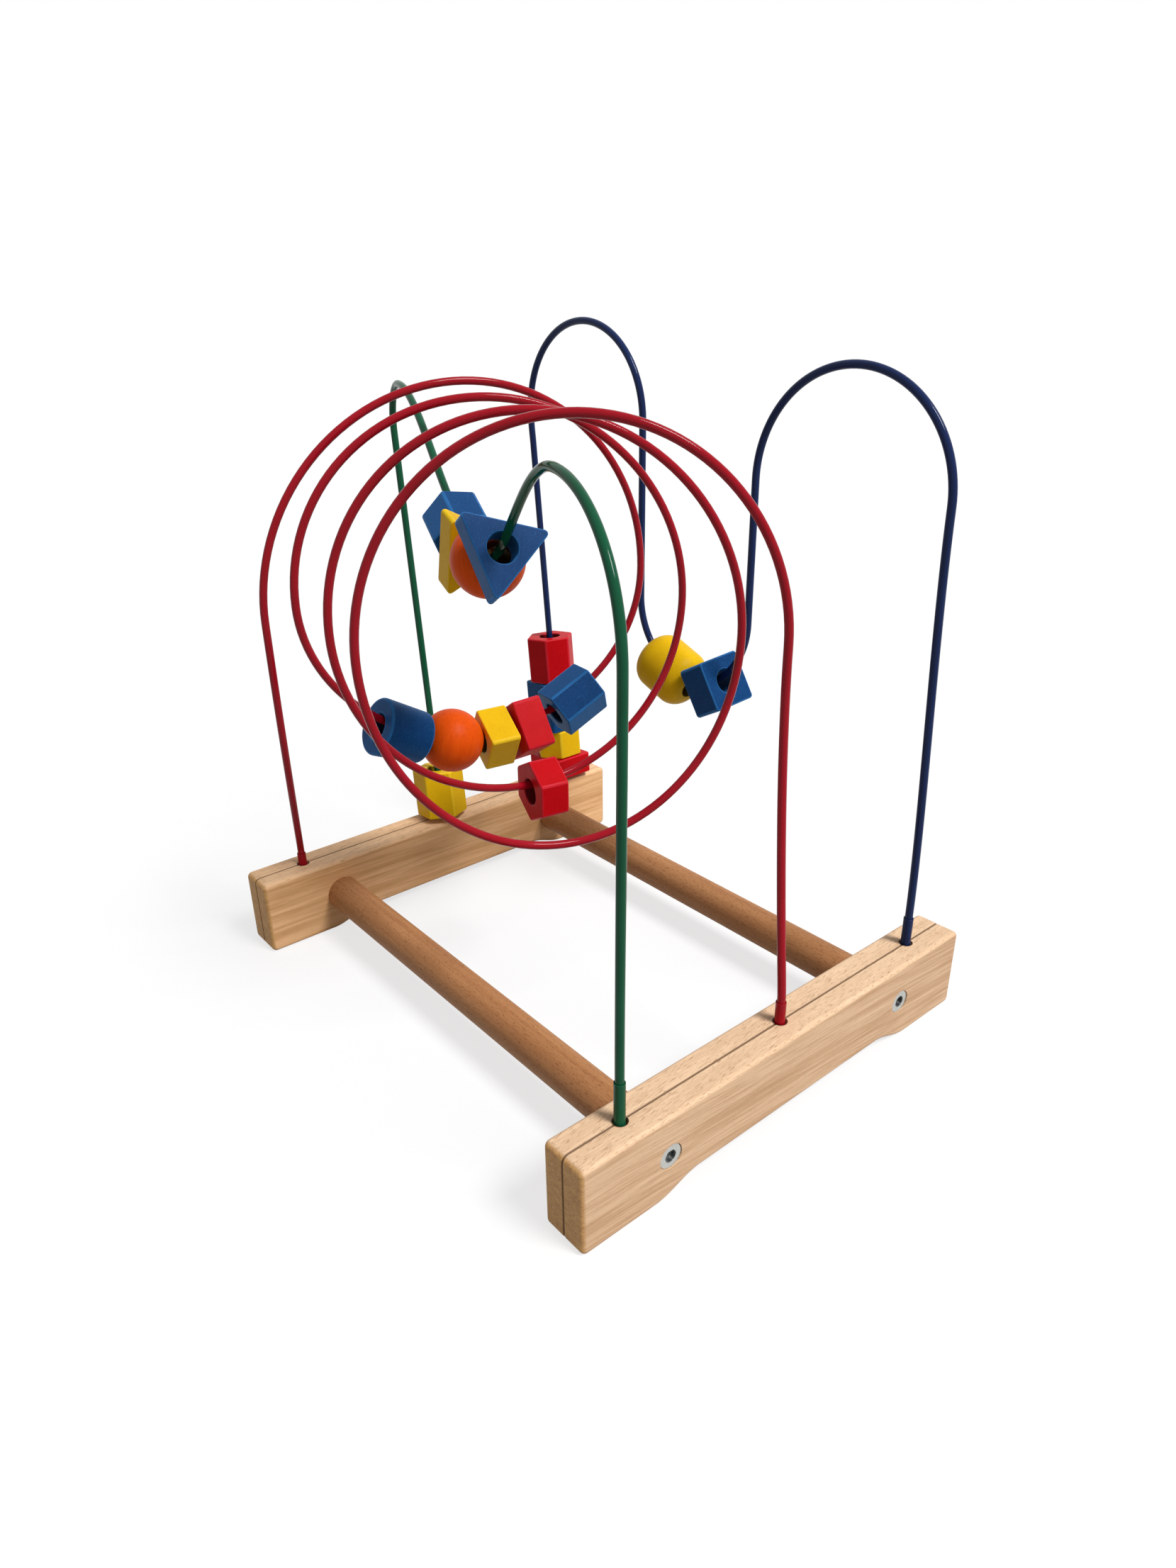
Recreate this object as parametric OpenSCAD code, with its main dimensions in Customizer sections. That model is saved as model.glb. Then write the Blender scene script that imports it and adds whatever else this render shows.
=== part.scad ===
// Bead maze: two layered wooden rails, two round crossbars, three bent wires and seventeen
// wooden beads that slide along them. Millimetres, +Z up, the rails stand on Z = 0.
// The rails run along Y, the crossbars along X. The front rail is at +X.

/* [Rails] */
// Length of a rail
rail_len = 256; // [236:2:300]
// Height of a rail
rail_h = 44; // [38:1:56]
// Thickness of one board, two boards make a rail
board_t = 12; // [10:0.5:16]
// Clear distance between the two rails
rail_gap = 259; // [240:1:290]
// Length of the flat foot at each end of a rail
foot_len = 40; // [30:1:50]
// Length of the curved step between a foot and the raised underside
foot_ramp = 26; // [16:1:36]
// Height of the raised underside above the floor
arch_rise = 6; // [3:0.5:9]
// Corner radius at the ends of a rail
end_round = 3; // [1:0.5:6]

/* [Crossbars and screws] */
// Diameter of a crossbar
bar_d = 20; // [14:0.5:24]
// Distance between the two crossbars
bar_span = 160; // [120:2:164]
// Height of the crossbar axes above the floor
bar_z = 22.5; // [20:0.5:26]
// Diameter of a screw shank
screw_d = 6; // [4:0.5:8]
// Length of a screw under its head
screw_len = 40; // [25:1:60]
// Diameter of a screw head
head_d = 12.4; // [10:0.2:15]
// Height of a screw head
head_h = 3; // [2:0.25:4]
// Depth of the screw head below the wood
head_sink = 0.4; // [0.1:0.1:1]
// Width across the flats of the hexagon socket
socket_w = 5; // [3:0.5:6]
// Depth of the hexagon socket
socket_depth = 2; // [1:0.25:2.5]
// Clearance all round between a fixed piece and its hole
fit_gap = 0.05; // [0.02:0.01:0.1]

/* [Wires] */
// Diameter of a wire
wire_d = 4; // [3:0.25:5]
// Distance between the outer wire holes of a rail
hole_span = 196; // [190:1:210]
// Wood between the bottom of a wire hole and the top of a crossbar
hole_floor = 1.5; // [1:0.25:3]
// Wall thickness of the sleeve round a wire foot
sleeve_wall = 0.45; // [0.3:0.05:0.8]
// Height of a sleeve on the rear rail
sleeve_rear_h = 7; // [4:0.5:10]
// Height of the red sleeve on the front rail
sleeve_red_h = 11; // [6:0.5:20]
// Height of the blue sleeve on the front rail
sleeve_blue_h = 15; // [6:0.5:25]
// Height of the green sleeve on the front rail
sleeve_green_h = 20; // [6:0.5:30]

/* [Beads] */
// Bore through every bead
bore_d = 13.5; // [11:0.25:14]
// Diameter of a ball
ball_d = 34; // [28:0.5:36]
// Width across the corners of a hexagon bead
hex_w = 32; // [28:0.5:34]
// Length of a long hexagon bead
hex_l = 28; // [24:0.5:30]
// Length of the short hexagon bead on the green wire
short_hex_l = 22; // [16:0.5:28]
// Width across the corners of the stub hexagon bead in the second dip
stub_hex_w = 34; // [30:0.5:36]
// Length of the stub hexagon bead in the second dip
stub_hex_l = 15.5; // [13:0.5:20]
// Length of the upright hexagon beads
tall_hex_l = 30; // [24:0.5:34]
// Side of a triangle bead
tri_w = 40.5; // [37:0.5:42]
// Length of a triangle bead
tri_l = 12; // [9:0.5:13]
// Width of the block in the stack
square_w = 27; // [24:0.5:30]
// Width of the yellow square bead on the spiral
small_square_w = 24.5; // [22:0.5:26]
// Width of the red square bead on the spiral
large_square_w = 28.5; // [26:0.5:30]
// Length of the square beads on the spiral
short_square_l = 17; // [14:0.5:18]
// Width of the square bead in the deep dip
tile_w = 28.5; // [26:0.5:30]
// Length of the square bead in the deep dip
tile_l = 19; // [15:0.5:20]
// Diameter of the barrel bead
barrel_d = 34; // [30:0.5:36]
// Length of the barrel bead
barrel_l = 36; // [30:0.5:37]
// Edge radius of the barrel bead
barrel_round = 10; // [6:0.5:12]
// Large diameter of the cone bead
cone_d1 = 30.5; // [28:0.5:34]
// Small diameter of the cone bead
cone_d2 = 27.5; // [22:0.5:29]
// Length of the cone bead
cone_l = 27; // [24:0.5:30]
// Width of a slab bead in the stack
slab_w = 30; // [26:0.5:34]
// Length of the lowest slab in the stack
low_slab_l = 14; // [10:0.5:18]
// Length of the second slab in the stack
mid_slab_l = 19; // [14:0.5:22]
// Length of the tall block in the stack
block_l = 33; // [24:0.5:36]
// Radius on the long edges of the beads with corners
bead_round = 2; // [1:0.25:3]
// Gap between neighbouring beads
bead_gap = 0.4; // [0.3:0.05:0.8]
// Gap between the wire and the bore that hangs on it
hang_gap = 0.5; // [0.3:0.05:0.8]

/* [Hidden] */
$fn = 64;

wire_sides = 10;
turn_rings = 24;
seam_x = rail_gap / 2 + board_t;
sleeve_d = wire_d + 2 * fit_gap + 2 * sleeve_wall;
hole_d = sleeve_d + 2 * fit_gap;
hole_depth = rail_h - bar_z - bar_d / 2 - hole_floor;
side_y = hole_span / 2;
UP = [0, 0, 1];

// Wire holes at the top of the rails
red_rear = [-seam_x, -side_y, rail_h];
red_front = [seam_x, 0, rail_h];
blue_rear = [-seam_x, side_y, rail_h];
blue_front = [seam_x, side_y, rail_h];
green_rear = [-seam_x, 0, rail_h];
green_front = [seam_x, -side_y, rail_h];

// Spiral: places where the wire runs straight up or down, near and far, above the rail
near_side = [[-108, -113, 156], [-67, -114, 173], [-25, -119, 170], [9, -125, 167]];
far_side = [[-52, 90, 163], [9, 63, 162], [72, 39, 160], [123, 10, 172]];
top_rise = [106, 94, 95, 93];
low_drop = [82, 90, 97];

// Blue wire, in the upright plane through its two holes: X and height above the rail
hump_front_x = 135;
dip_front_x = 24;
dip_rear_x = -60;
hump_rear_x = -162;
hump_front_z = 218;
dip_z = 143;
hump_rear_z = 240;

// Green wire, in an upright plane from its front hole past its rear hole: reach and height
green_far = [-170, 5];
crest_front = [60, 247];
green_low = [150, 197];
crest_rear = [306, 261];
side_front = [-2, 190];
side_rear_z = 234;

// The whole toy stands with the origin under the middle of its length
rear_reach = -green_far[0] + wire_d / 2;
toy_shift = (rear_reach - seam_x - board_t) / 2;

function unit(v) = v / norm(v);
function on_rail(p) = p + UP * rail_h;

// Half a turn between two sides, rising over the top or dropping below
function half_turn(a, b, rise) =
  [for (i = [1:turn_rings])
    let (t = 180 * i / turn_rings) (a + b) / 2 - (b - a) / 2 * cos(t) + UP * rise * sin(t)];

function bezier(a, b, c, d, n) =
  [for (i = [1:n])
    let (t = i / n, s = 1 - t) s * s * s * a + 3 * s * s * t * b + 3 * s * t * t * c + t * t * t * d];

function foot(hole, sleeve_h) = [hole - UP * hole_depth, hole + UP * (sleeve_h + 2)];

// Spiral of seven half turns between two legs
red_near = [for (p = near_side) on_rail(p)];
red_far = [for (p = far_side) on_rail(p)];
red_foot_a = foot(red_rear, sleeve_rear_h);
red_foot_b = foot(red_front, sleeve_red_h);
red_path = concat(
  red_foot_a,
  bezier(red_foot_a[1], red_foot_a[1] + UP * 8, red_near[0] - UP * 70, red_near[0], 14),
  [for (i = [0:3]) each concat(
    half_turn(red_near[i], red_far[i], top_rise[i]),
    i < 3 ? half_turn(red_far[i], red_near[i + 1], -low_drop[i]) : [])],
  bezier(red_far[3], red_far[3] - UP * 70, red_foot_b[1] + UP * 8, red_foot_b[1], 14),
  [red_foot_b[0]]);

// Two humps and a deep dip
function blue(x, z) = [x, side_y, rail_h + z];
blue_foot_a = foot(blue_front, sleeve_blue_h);
blue_foot_b = foot(blue_rear, sleeve_rear_h);
blue_leg_top = blue(hump_rear_x + 1.5, hump_rear_z - 20);
blue_path = concat(
  blue_foot_a,
  bezier(blue_foot_a[1], blue_foot_a[1] + UP * 60, blue(hump_front_x, hump_front_z - 60),
         blue(hump_front_x, hump_front_z), 8),
  half_turn(blue(hump_front_x, hump_front_z), blue(dip_front_x, hump_front_z),
            (hump_front_x - dip_front_x) / 2),
  [blue(dip_front_x, dip_z)],
  half_turn(blue(dip_front_x, dip_z), blue(dip_rear_x, dip_z), -(dip_front_x - dip_rear_x) / 2),
  [blue(dip_rear_x, hump_rear_z)],
  half_turn(blue(dip_rear_x, hump_rear_z), blue(hump_rear_x, hump_rear_z),
            (dip_rear_x - hump_rear_x) / 2),
  bezier(blue(hump_rear_x, hump_rear_z), blue(hump_rear_x, hump_rear_z - 10),
         blue_leg_top + unit(blue_leg_top - blue_foot_b[1]) * 8, blue_leg_top, 3),
  [blue_foot_b[1], blue_foot_b[0]]);

// Two shallow humps and a wide dip, across the toy
green_dir = unit(green_far - [green_front[0], green_front[1]]);
green_len = norm(green_far - [green_front[0], green_front[1]]);
function green(s, z) =
  [green_front[0] + green_dir[0] * s, green_front[1] + green_dir[1] * s, rail_h + z];
function green_at(p) = green(p[0], p[1]);
function along(d) = [green_dir[0] * d, green_dir[1] * d, 0];
green_foot_a = foot(green_front, sleeve_green_h);
green_foot_b = foot(green_rear, sleeve_rear_h);
green_side = green(green_len, side_rear_z);
green_lean = unit(green_side - green_foot_b[1]);
green_fall = bezier(green_at(crest_front), green_at(crest_front) + along(34),
                    green_at(green_low) - along(28), green_at(green_low), 16);
green_slope = bezier(green_at(green_low), green_at(green_low) + along(70),
                     green_at(crest_rear) - along(54), green_at(crest_rear), 18);
green_path = concat(
  green_foot_a,
  bezier(green_foot_a[1], green_foot_a[1] + UP * 50, green_at(side_front) - UP * 50,
         green_at(side_front), 8),
  bezier(green_at(side_front), green_at(side_front) + UP * 34, green_at(crest_front) - along(34),
         green_at(crest_front), 14),
  green_fall,
  green_slope,
  bezier(green_at(crest_rear), green_at(crest_rear) + along(14), green_side + green_lean * 13,
         green_side, 12),
  [green_foot_b[1], green_foot_b[0]]);

// Sweeps a round tube along a path, with a frame that is carried from point to point
function heading(path, i) =
  unit(i == 0 ? path[1] - path[0]
     : i == len(path) - 1 ? path[i] - path[i - 1]
     : unit(path[i + 1] - path[i]) + unit(path[i] - path[i - 1]));
function square_to(v, t) = unit(v - t * (v * t));
function frames(path) =
  [for (i = 0, u = [1, 0, 0]; i < len(path);
        i = i + 1, u = i < len(path) ? square_to(u, heading(path, i)) : u) u];

module tube(path, d) {
  n = wire_sides;
  side = frames(path);
  rings = [for (i = [0:len(path) - 1])
    let (t = heading(path, i), u = side[i], v = cross(t, u))
    for (k = [0:n - 1])
      path[i] + d / 2 * (u * cos(360 * k / n) + v * sin(360 * k / n))];
  walls = [for (i = [0:len(path) - 2]) for (k = [0:n - 1])
    let (a = i * n + k, b = i * n + (k + 1) % n)
    each [[a, a + n, b + n], [a, b + n, b]]];
  last = (len(path) - 1) * n;
  caps = [for (k = [1:n - 2]) each [[0, k, k + 1], [last, last + k + 1, last + k]]];
  polyhedron(points = rings, faces = concat(walls, caps));
}

// Least gap of the spiral to itself, between points that lie over half a turn apart
echo(least_gap_of_spiral = min(
  [for (i = [0:2:len(red_path) - 1]) for (j = [i + turn_rings + 2:2:len(red_path) - 1])
    norm(red_path[i] - red_path[j])]) - wire_d);

// Rail board, drawn from the side with Y across and Z up
function corner(c, a) = [for (i = [0:5]) c + end_round * [cos(a + 18 * i), sin(a + 18 * i)]];
function mirrored(points) = [for (i = [len(points) - 1:-1:0]) [-points[i][0], points[i][1]]];

module rail_outline() {
  y = rail_len / 2;
  ramp_y = y - foot_len - foot_ramp;
  half = concat(
    [for (i = [0:10]) [ramp_y + foot_ramp * i / 10, arch_rise * (1 + cos(18 * i)) / 2]],
    corner([y - end_round, end_round], -90),
    corner([y - end_round, rail_h - end_round], 0));
  polygon(concat(half, mirrored(half)));
}

module board(x) {
  translate([x, 0, 0])
    rotate([90, 0, 90])
      linear_extrude(height = board_t)
        rail_outline();
}

// Round holes for the wire feet, half in each board of a rail
module wire_holes(x) {
  for (y = [-side_y, 0, side_y])
    translate([x, y, rail_h - hole_depth])
      cylinder(d = hole_d, h = hole_depth + 1);
}

module inner_board(side) {
  x = side > 0 ? seam_x - board_t : -seam_x;
  difference() {
    board(x);
    wire_holes(side * seam_x);
    for (y = [-1, 1])
      translate([x - 1, y * bar_span / 2, bar_z])
        rotate([0, 90, 0])
          cylinder(d = bar_d + 2 * fit_gap, h = board_t + 2);
  }
}

module outer_board(side) {
  x = side > 0 ? seam_x : -seam_x - board_t;
  difference() {
    board(x);
    wire_holes(side * seam_x);
    for (y = [-1, 1])
      translate([side * (seam_x + board_t), y * bar_span / 2, bar_z])
        rotate([0, -90 * side, 0]) {
          translate([0, 0, -1])
            cylinder(d = head_d + 2 * fit_gap, h = head_h + head_sink + 1);
          cylinder(d = screw_d + 2 * fit_gap, h = board_t + 1);
        }
  }
}

module rail_front_inner() color("burlywood") place() inner_board(1);
module rail_front_outer() color("tan") place() outer_board(1);
module rail_rear_inner() color("burlywood") place() inner_board(-1);
module rail_rear_outer() color("tan") place() outer_board(-1);

// A crossbar runs through both inner boards and is held by a screw at each end
module crossbar(y) {
  reach = screw_len - (board_t - head_h - head_sink) + 1;
  difference() {
    translate([-seam_x, y, bar_z])
      rotate([0, 90, 0])
        cylinder(d = bar_d, h = 2 * seam_x);
    for (side = [-1, 1])
      translate([side * (seam_x + 1), y, bar_z])
        rotate([0, -90 * side, 0])
          cylinder(d = screw_d + 2 * fit_gap, h = reach + 1);
  }
}

module crossbar_near() color("peru") place() crossbar(-bar_span / 2);
module crossbar_far() color("peru") place() crossbar(bar_span / 2);

module screw() {
  difference() {
    union() {
      cylinder(d = head_d, h = head_h);
      cylinder(d = screw_d, h = head_h + screw_len);
    }
    translate([0, 0, -1])
      cylinder(d = socket_w / cos(30), h = socket_depth + 1, $fn = 6);
  }
}

module screws() {
  color("silver")
    place()
      for (side = [-1, 1], y = [-1, 1])
        translate([side * (seam_x + board_t - head_sink), y * bar_span / 2, bar_z])
          rotate([0, -90 * side, 0])
            screw();
}

module wire_red() color("firebrick") place() tube(red_path, wire_d);
module wire_blue() color("midnightblue") place() tube(blue_path, wire_d);
module wire_green() color("darkgreen") place() tube(green_path, wire_d);

// Thin sleeve that holds the foot of a wire in its hole
module sleeve(hole, h) {
  place()
    translate(hole - UP * hole_depth)
      difference() {
        cylinder(d = sleeve_d, h = hole_depth + h);
        translate([0, 0, -1])
          cylinder(d = wire_d + 2 * fit_gap, h = hole_depth + h + 2);
      }
}

module sleeve_red_front() color("firebrick") sleeve(red_front, sleeve_red_h);
module sleeve_red_rear() color("firebrick") sleeve(red_rear, sleeve_rear_h);
module sleeve_blue_front() color("midnightblue") sleeve(blue_front, sleeve_blue_h);
module sleeve_blue_rear() color("midnightblue") sleeve(blue_rear, sleeve_rear_h);
module sleeve_green_front() color("darkgreen") sleeve(green_front, sleeve_green_h);
module sleeve_green_rear() color("darkgreen") sleeve(green_rear, sleeve_rear_h);

// Bead shapes, each with its bore along Z and its middle at the origin
module bore_through(l) {
  difference() {
    children();
    cylinder(d = bore_d, h = l + 2, center = true);
  }
}

// Regular outline with round corners, from a polygon and a circle in each corner
module round_polygon(corners, reach) {
  half = 180 / corners;
  inner = reach - bead_round / cos(half);
  function at(r, a) = r * [cos(a), sin(a)];
  polygon([for (i = [0:corners - 1], s = [-half, half])
    at(inner, 360 * i / corners) + at(bead_round, 360 * i / corners + s)]);
  for (i = [0:corners - 1])
    translate(at(inner, 360 * i / corners))
      circle(r = bead_round, $fn = 32);
}

module prism_bead(corners, reach, l) {
  bore_through(l)
    linear_extrude(height = l, center = true)
      round_polygon(corners, reach);
}

module ball_bead() bore_through(ball_d) sphere(d = ball_d);
module hex_bead(l) prism_bead(6, hex_w / 2, l);
module triangle_bead() prism_bead(3, tri_reach, tri_l);
module square_bead(w, l) prism_bead(4, w / sqrt(2), l);

module barrel_bead() {
  core = barrel_l / 2 - barrel_round;
  bore_through(barrel_l)
    rotate_extrude()
      intersection() {
        translate([0, -barrel_l / 2])
          square([barrel_d / 2, barrel_l]);
        union() {
          square([barrel_d, 2 * core], center = true);
          square([barrel_d - 2 * barrel_round, barrel_l], center = true);
          for (s = [-1, 1])
            translate([barrel_d / 2 - barrel_round, s * core])
              circle(r = barrel_round);
        }
      }
}

module cone_bead() {
  bore_through(cone_l)
    cylinder(d1 = cone_d1, d2 = cone_d2, h = cone_l, center = true);
}

// Where a bead sits: its middle and the direction of its bore
tri_reach = tri_w / sqrt(3);
function heading_of(v) = atan2(v[1], v[0]);
function on_circle(dip, r, angle) =
  let (h = [cos(dip[1]), sin(dip[1]), 0], a = dip[2] + angle)
  [dip[0] + r * (h * sin(a) - UP * cos(a)), h * cos(a) + UP * sin(a)];
function walk(path, d, i = 0) =
  let (step = norm(path[i + 1] - path[i]))
  d <= step || i == len(path) - 2
    ? [path[i] + (path[i + 1] - path[i]) * d / step, unit(path[i + 1] - path[i])]
    : walk(path, d - step, i + 1);

module sit(seat, roll = 0) {
  place()
    translate(seat[0])
      rotate([0, -asin(seat[1][2]), heading_of(seat[1])])
        rotate([roll, 0, 0])
          rotate([0, 90, 0])
            children();
}

// A loose bead leans on its wire: moved along, aside and up, then turned about the upright and tipped
function leaned(seat, move, turn, tip) =
  let (t = seat[1], side = unit(cross(UP, t)),
       f = [t[0] * cos(turn) - t[1] * sin(turn), t[0] * sin(turn) + t[1] * cos(turn), t[2]])
  [seat[0] + t * move[0] + side * move[1] + cross(t, side) * move[2],
   f * cos(tip) + square_to(UP, f) * sin(tip)];

// A bead of length l hangs with its bore on a wire of radius r, touching at both ends
function hang(l, r) = (bore_d - wire_d) / 2 - hang_gap - l * l / (8 * r);

// Half of the angle that a bead takes up on a dip: length, height towards the middle, edge radius
function half_angle(l, h, edge, r) =
  let (v = [l / 2 - edge, r + hang(l, r) - h + edge])
  atan2(v[0], v[1]) + asin((edge + bead_gap / 2) / norm(v));

function ride(dip, l, angle) = on_circle(dip, dip[3] + hang(l, dip[3]), angle);

// Dips that carry beads: middle, heading, tilt and radius of the circle that the beads follow
function red_dip(i, r) =
  let (t = unit(red_far[i] - red_near[i + 1]),
       low = (red_far[i] + red_near[i + 1]) / 2 - UP * low_drop[i])
  [low + square_to(UP, t) * r, heading_of(t), asin(t[2]), r];
dip_a = red_dip(0, 118);
dip_b = red_dip(1, 96);
dip_c = [blue((dip_front_x + dip_rear_x) / 2, dip_z), 0, 0, (dip_front_x - dip_rear_x) / 2];

// First dip of the spiral, from the square in the middle to both sides
hex_h = hex_w / 2;
half_ball = half_angle(ball_d, ball_d / 2, ball_d / 2, dip_a[3]);
half_cone = half_angle(cone_l, cone_d1 / 2, 0, dip_a[3]);
half_square = atan2(short_square_l / 2, dip_a[3]);
yellow_at = -0.1;
orange_at = yellow_at - half_square - half_ball - 0.2;
cone_at = orange_at - half_ball - half_cone + 0.2;
red_at = yellow_at + 2 * half_square + 1.05;
hex_at = 25.8;
yellow_seat = leaned(ride(dip_a, short_square_l, yellow_at), [0, -1.7, 0.9], -7, 4);
red_seat = leaned(ride(dip_a, short_square_l, red_at), [0, -1.5, 0.9], -3.5, -2.5);
cone_seat = leaned(ride(dip_a, cone_l, cone_at), [0, 0, -0.2], -0.6, 3.4);
stub_seat = leaned(ride(dip_b, stub_hex_l, 4.7), [0, -1.2, 0.4], -1.3, -1.8);
hex_seat = leaned(ride(dip_a, hex_l, hex_at), [0, -0.4, 0.9], -4, 4.2);

module red_square_yellow()
  color("gold") sit(yellow_seat, 76.5) square_bead(small_square_w, short_square_l);
module red_ball_orange() color("darkorange") sit(ride(dip_a, ball_d, orange_at)) ball_bead();
module red_cone_blue() color("royalblue") sit(cone_seat) cone_bead();
module red_square_red()
  color("crimson") sit(red_seat, 12.9) square_bead(large_square_w, short_square_l);
module red_hex_blue() color("royalblue") sit(hex_seat, 28.7) hex_bead(hex_l);
module red_hex_red()
  color("crimson") sit(stub_seat, 1.6) prism_bead(6, stub_hex_w / 2, stub_hex_l);

// Deep dip of the blue wire: the barrel to the rear, the square to the front
barrel_at = -21;
block_at = barrel_at + half_angle(barrel_l, barrel_d / 2, barrel_round, dip_c[3])
         + half_angle(tile_l, tile_w / 2, 0, dip_c[3]) + 2;
tile_seat = leaned(ride(dip_c, tile_l, block_at), [0, 0.5, 0.6], -3, 1.5);
module blue_barrel_yellow()
  color("gold") sit(ride(dip_c, barrel_l, barrel_at)) barrel_bead();
module blue_square_blue()
  color("royalblue") sit(tile_seat, 50) square_bead(tile_w, tile_l);

// Stack on the rear leg of the blue wire, from the rail upwards along the leg
blue_lean = unit(blue_leg_top - blue_foot_b[1]);
function up_leg(foot_top, lean, d) = [foot_top + lean * (d - (foot_top[2] - rail_h) / lean[2]), lean];
stack_0 = slab_w / 2 * sqrt(1 - blue_lean[2] * blue_lean[2]) + bead_gap;
stack_1 = stack_0 + low_slab_l + bead_gap;
stack_2 = stack_1 + mid_slab_l + bead_gap;
stack_3 = stack_2 + block_l + bead_gap;
function stacked(d, l) = up_leg(blue_foot_b[1], blue_lean, d + l / 2);

module blue_slab_red()
  color("crimson") sit(stacked(stack_0, low_slab_l), 45) square_bead(slab_w, low_slab_l);
module blue_slab_yellow()
  color("gold") sit(stacked(stack_1, mid_slab_l), 30) hex_bead(mid_slab_l);
module blue_block_blue()
  color("royalblue") sit(stacked(stack_2, block_l), 45) square_bead(square_w, block_l);
module blue_hex_red()
  color("crimson") sit(stacked(stack_3, tall_hex_l), 12) hex_bead(tall_hex_l);

// Wide dip of the green wire, walked from its front crest: the bore hangs on the wire at both ends
green_dip = concat([green_at(crest_front)], green_fall, green_slope);
function hung(d, l) =
  let (a = walk(green_dip, d - l / 2)[0], b = walk(green_dip, d + l / 2)[0], t = unit(b - a))
  [(a + b) / 2 - square_to(UP, t) * ((bore_d - wire_d) / 2 - hang_gap), t];
tilt_room = 1.5;
ball_at = 103;
low_tri_at = ball_at - ball_d / 2 - tri_l / 2 - bead_gap - tilt_room;
high_tri_at = ball_at + ball_d / 2 + tri_l / 2 + bead_gap + tilt_room / 2;
slope_hex_at = high_tri_at + tri_l / 2 + short_hex_l / 2 + bead_gap + 3 * tilt_room;
low_tri_seat = leaned(hung(low_tri_at, tri_l), [0, 1.8, 1.4], 1.7, 8.2);
high_tri_seat = leaned(hung(high_tri_at, tri_l), [0.6, 2.2, 1.2], 8, 8);

module green_triangle_blue() color("royalblue") sit(low_tri_seat, 17.8) triangle_bead();
module green_ball_orange() color("darkorange") sit(hung(ball_at, ball_d)) ball_bead();
module green_triangle_yellow() color("gold") sit(high_tri_seat, 28.5) triangle_bead();
module green_hex_blue()
  color("royalblue") sit(hung(slope_hex_at, short_hex_l), 36.6) hex_bead(short_hex_l);

// Lone bead on the rear foot of the green wire
foot_hex_0 = hex_h * sqrt(1 - green_lean[2] * green_lean[2]) + bead_gap;
module green_hex_yellow()
  color("gold")
    sit(up_leg(green_foot_b[1], green_lean, foot_hex_0 + tall_hex_l / 2), 8) hex_bead(tall_hex_l);

// Moves every piece so that the origin is under the middle of the toy
module place() translate([toy_shift, 0, 0]) children();

rail_front_inner();
rail_front_outer();
rail_rear_inner();
rail_rear_outer();
crossbar_near();
crossbar_far();
screws();
wire_red();
wire_blue();
wire_green();
sleeve_red_front();
sleeve_red_rear();
sleeve_blue_front();
sleeve_blue_rear();
sleeve_green_front();
sleeve_green_rear();
red_hex_blue();
red_square_red();
red_square_yellow();
red_ball_orange();
red_cone_blue();
red_hex_red();
blue_square_blue();
blue_barrel_yellow();
blue_hex_red();
blue_block_blue();
blue_slab_yellow();
blue_slab_red();
green_triangle_blue();
green_ball_orange();
green_triangle_yellow();
green_hex_blue();
green_hex_yellow();
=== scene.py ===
"""Looks of a wooden bead maze: rails, crossbars, screws, bent wires, sleeves and beads.

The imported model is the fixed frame. Each of its pieces is modelled again here in the same place,
with softened edges and with the finish of the real one, and rides on the same body.
Sizes are in millimetres in the classes and in metres in the meshes.
"""

import logging
import math
from dataclasses import dataclass, field
from enum import Enum
from typing import Callable, Sequence, Union

import bmesh
import bpy
from mathutils import Matrix, Vector

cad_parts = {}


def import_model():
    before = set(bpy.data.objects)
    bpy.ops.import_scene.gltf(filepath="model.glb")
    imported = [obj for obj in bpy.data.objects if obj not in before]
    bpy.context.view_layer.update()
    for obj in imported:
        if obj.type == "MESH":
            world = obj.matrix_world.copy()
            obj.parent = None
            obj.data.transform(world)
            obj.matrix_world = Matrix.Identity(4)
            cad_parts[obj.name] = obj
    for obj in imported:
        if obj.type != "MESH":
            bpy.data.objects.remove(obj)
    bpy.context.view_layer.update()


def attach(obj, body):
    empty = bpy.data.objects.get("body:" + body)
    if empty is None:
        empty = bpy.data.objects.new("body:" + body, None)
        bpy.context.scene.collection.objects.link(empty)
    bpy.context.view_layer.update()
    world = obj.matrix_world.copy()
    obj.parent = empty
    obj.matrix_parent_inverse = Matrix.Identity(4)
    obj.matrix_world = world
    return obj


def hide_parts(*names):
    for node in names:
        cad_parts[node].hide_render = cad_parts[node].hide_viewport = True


LOG = logging.getLogger("bead_maze")
MM = 0.001
SHIFT = Vector((9.25, 0.0, 0.0))
WEAR = "wear"
UP = Vector((0.0, 0.0, 1.0))
# Two places this near, in millimetres, count as one.
CLOSE = 0.01
# A cutting tool stands out of its piece by this much, in millimetres.
OVERLAP = 1.0
# Sides of large, middling and small round forms.
LARGE_ROUND, ROUND, SMALL_ROUND = 96, 64, 48

Point = Sequence[float]
Colour = tuple[float, float, float]
Piece = bpy.types.Object
Socket = bpy.types.NodeSocket
Material = bpy.types.Material


class Plan:
    """Lengths that several pieces share, in millimetres."""

    LENGTH = 256.0
    HEIGHT = 44.0
    BOARD = 12.0
    SEAM_X = 141.5
    HOLE_Y = 98.0
    HOLE_DEPTH = 10.0
    BAR_Y = 80.0
    BAR_Z = 22.5


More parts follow.
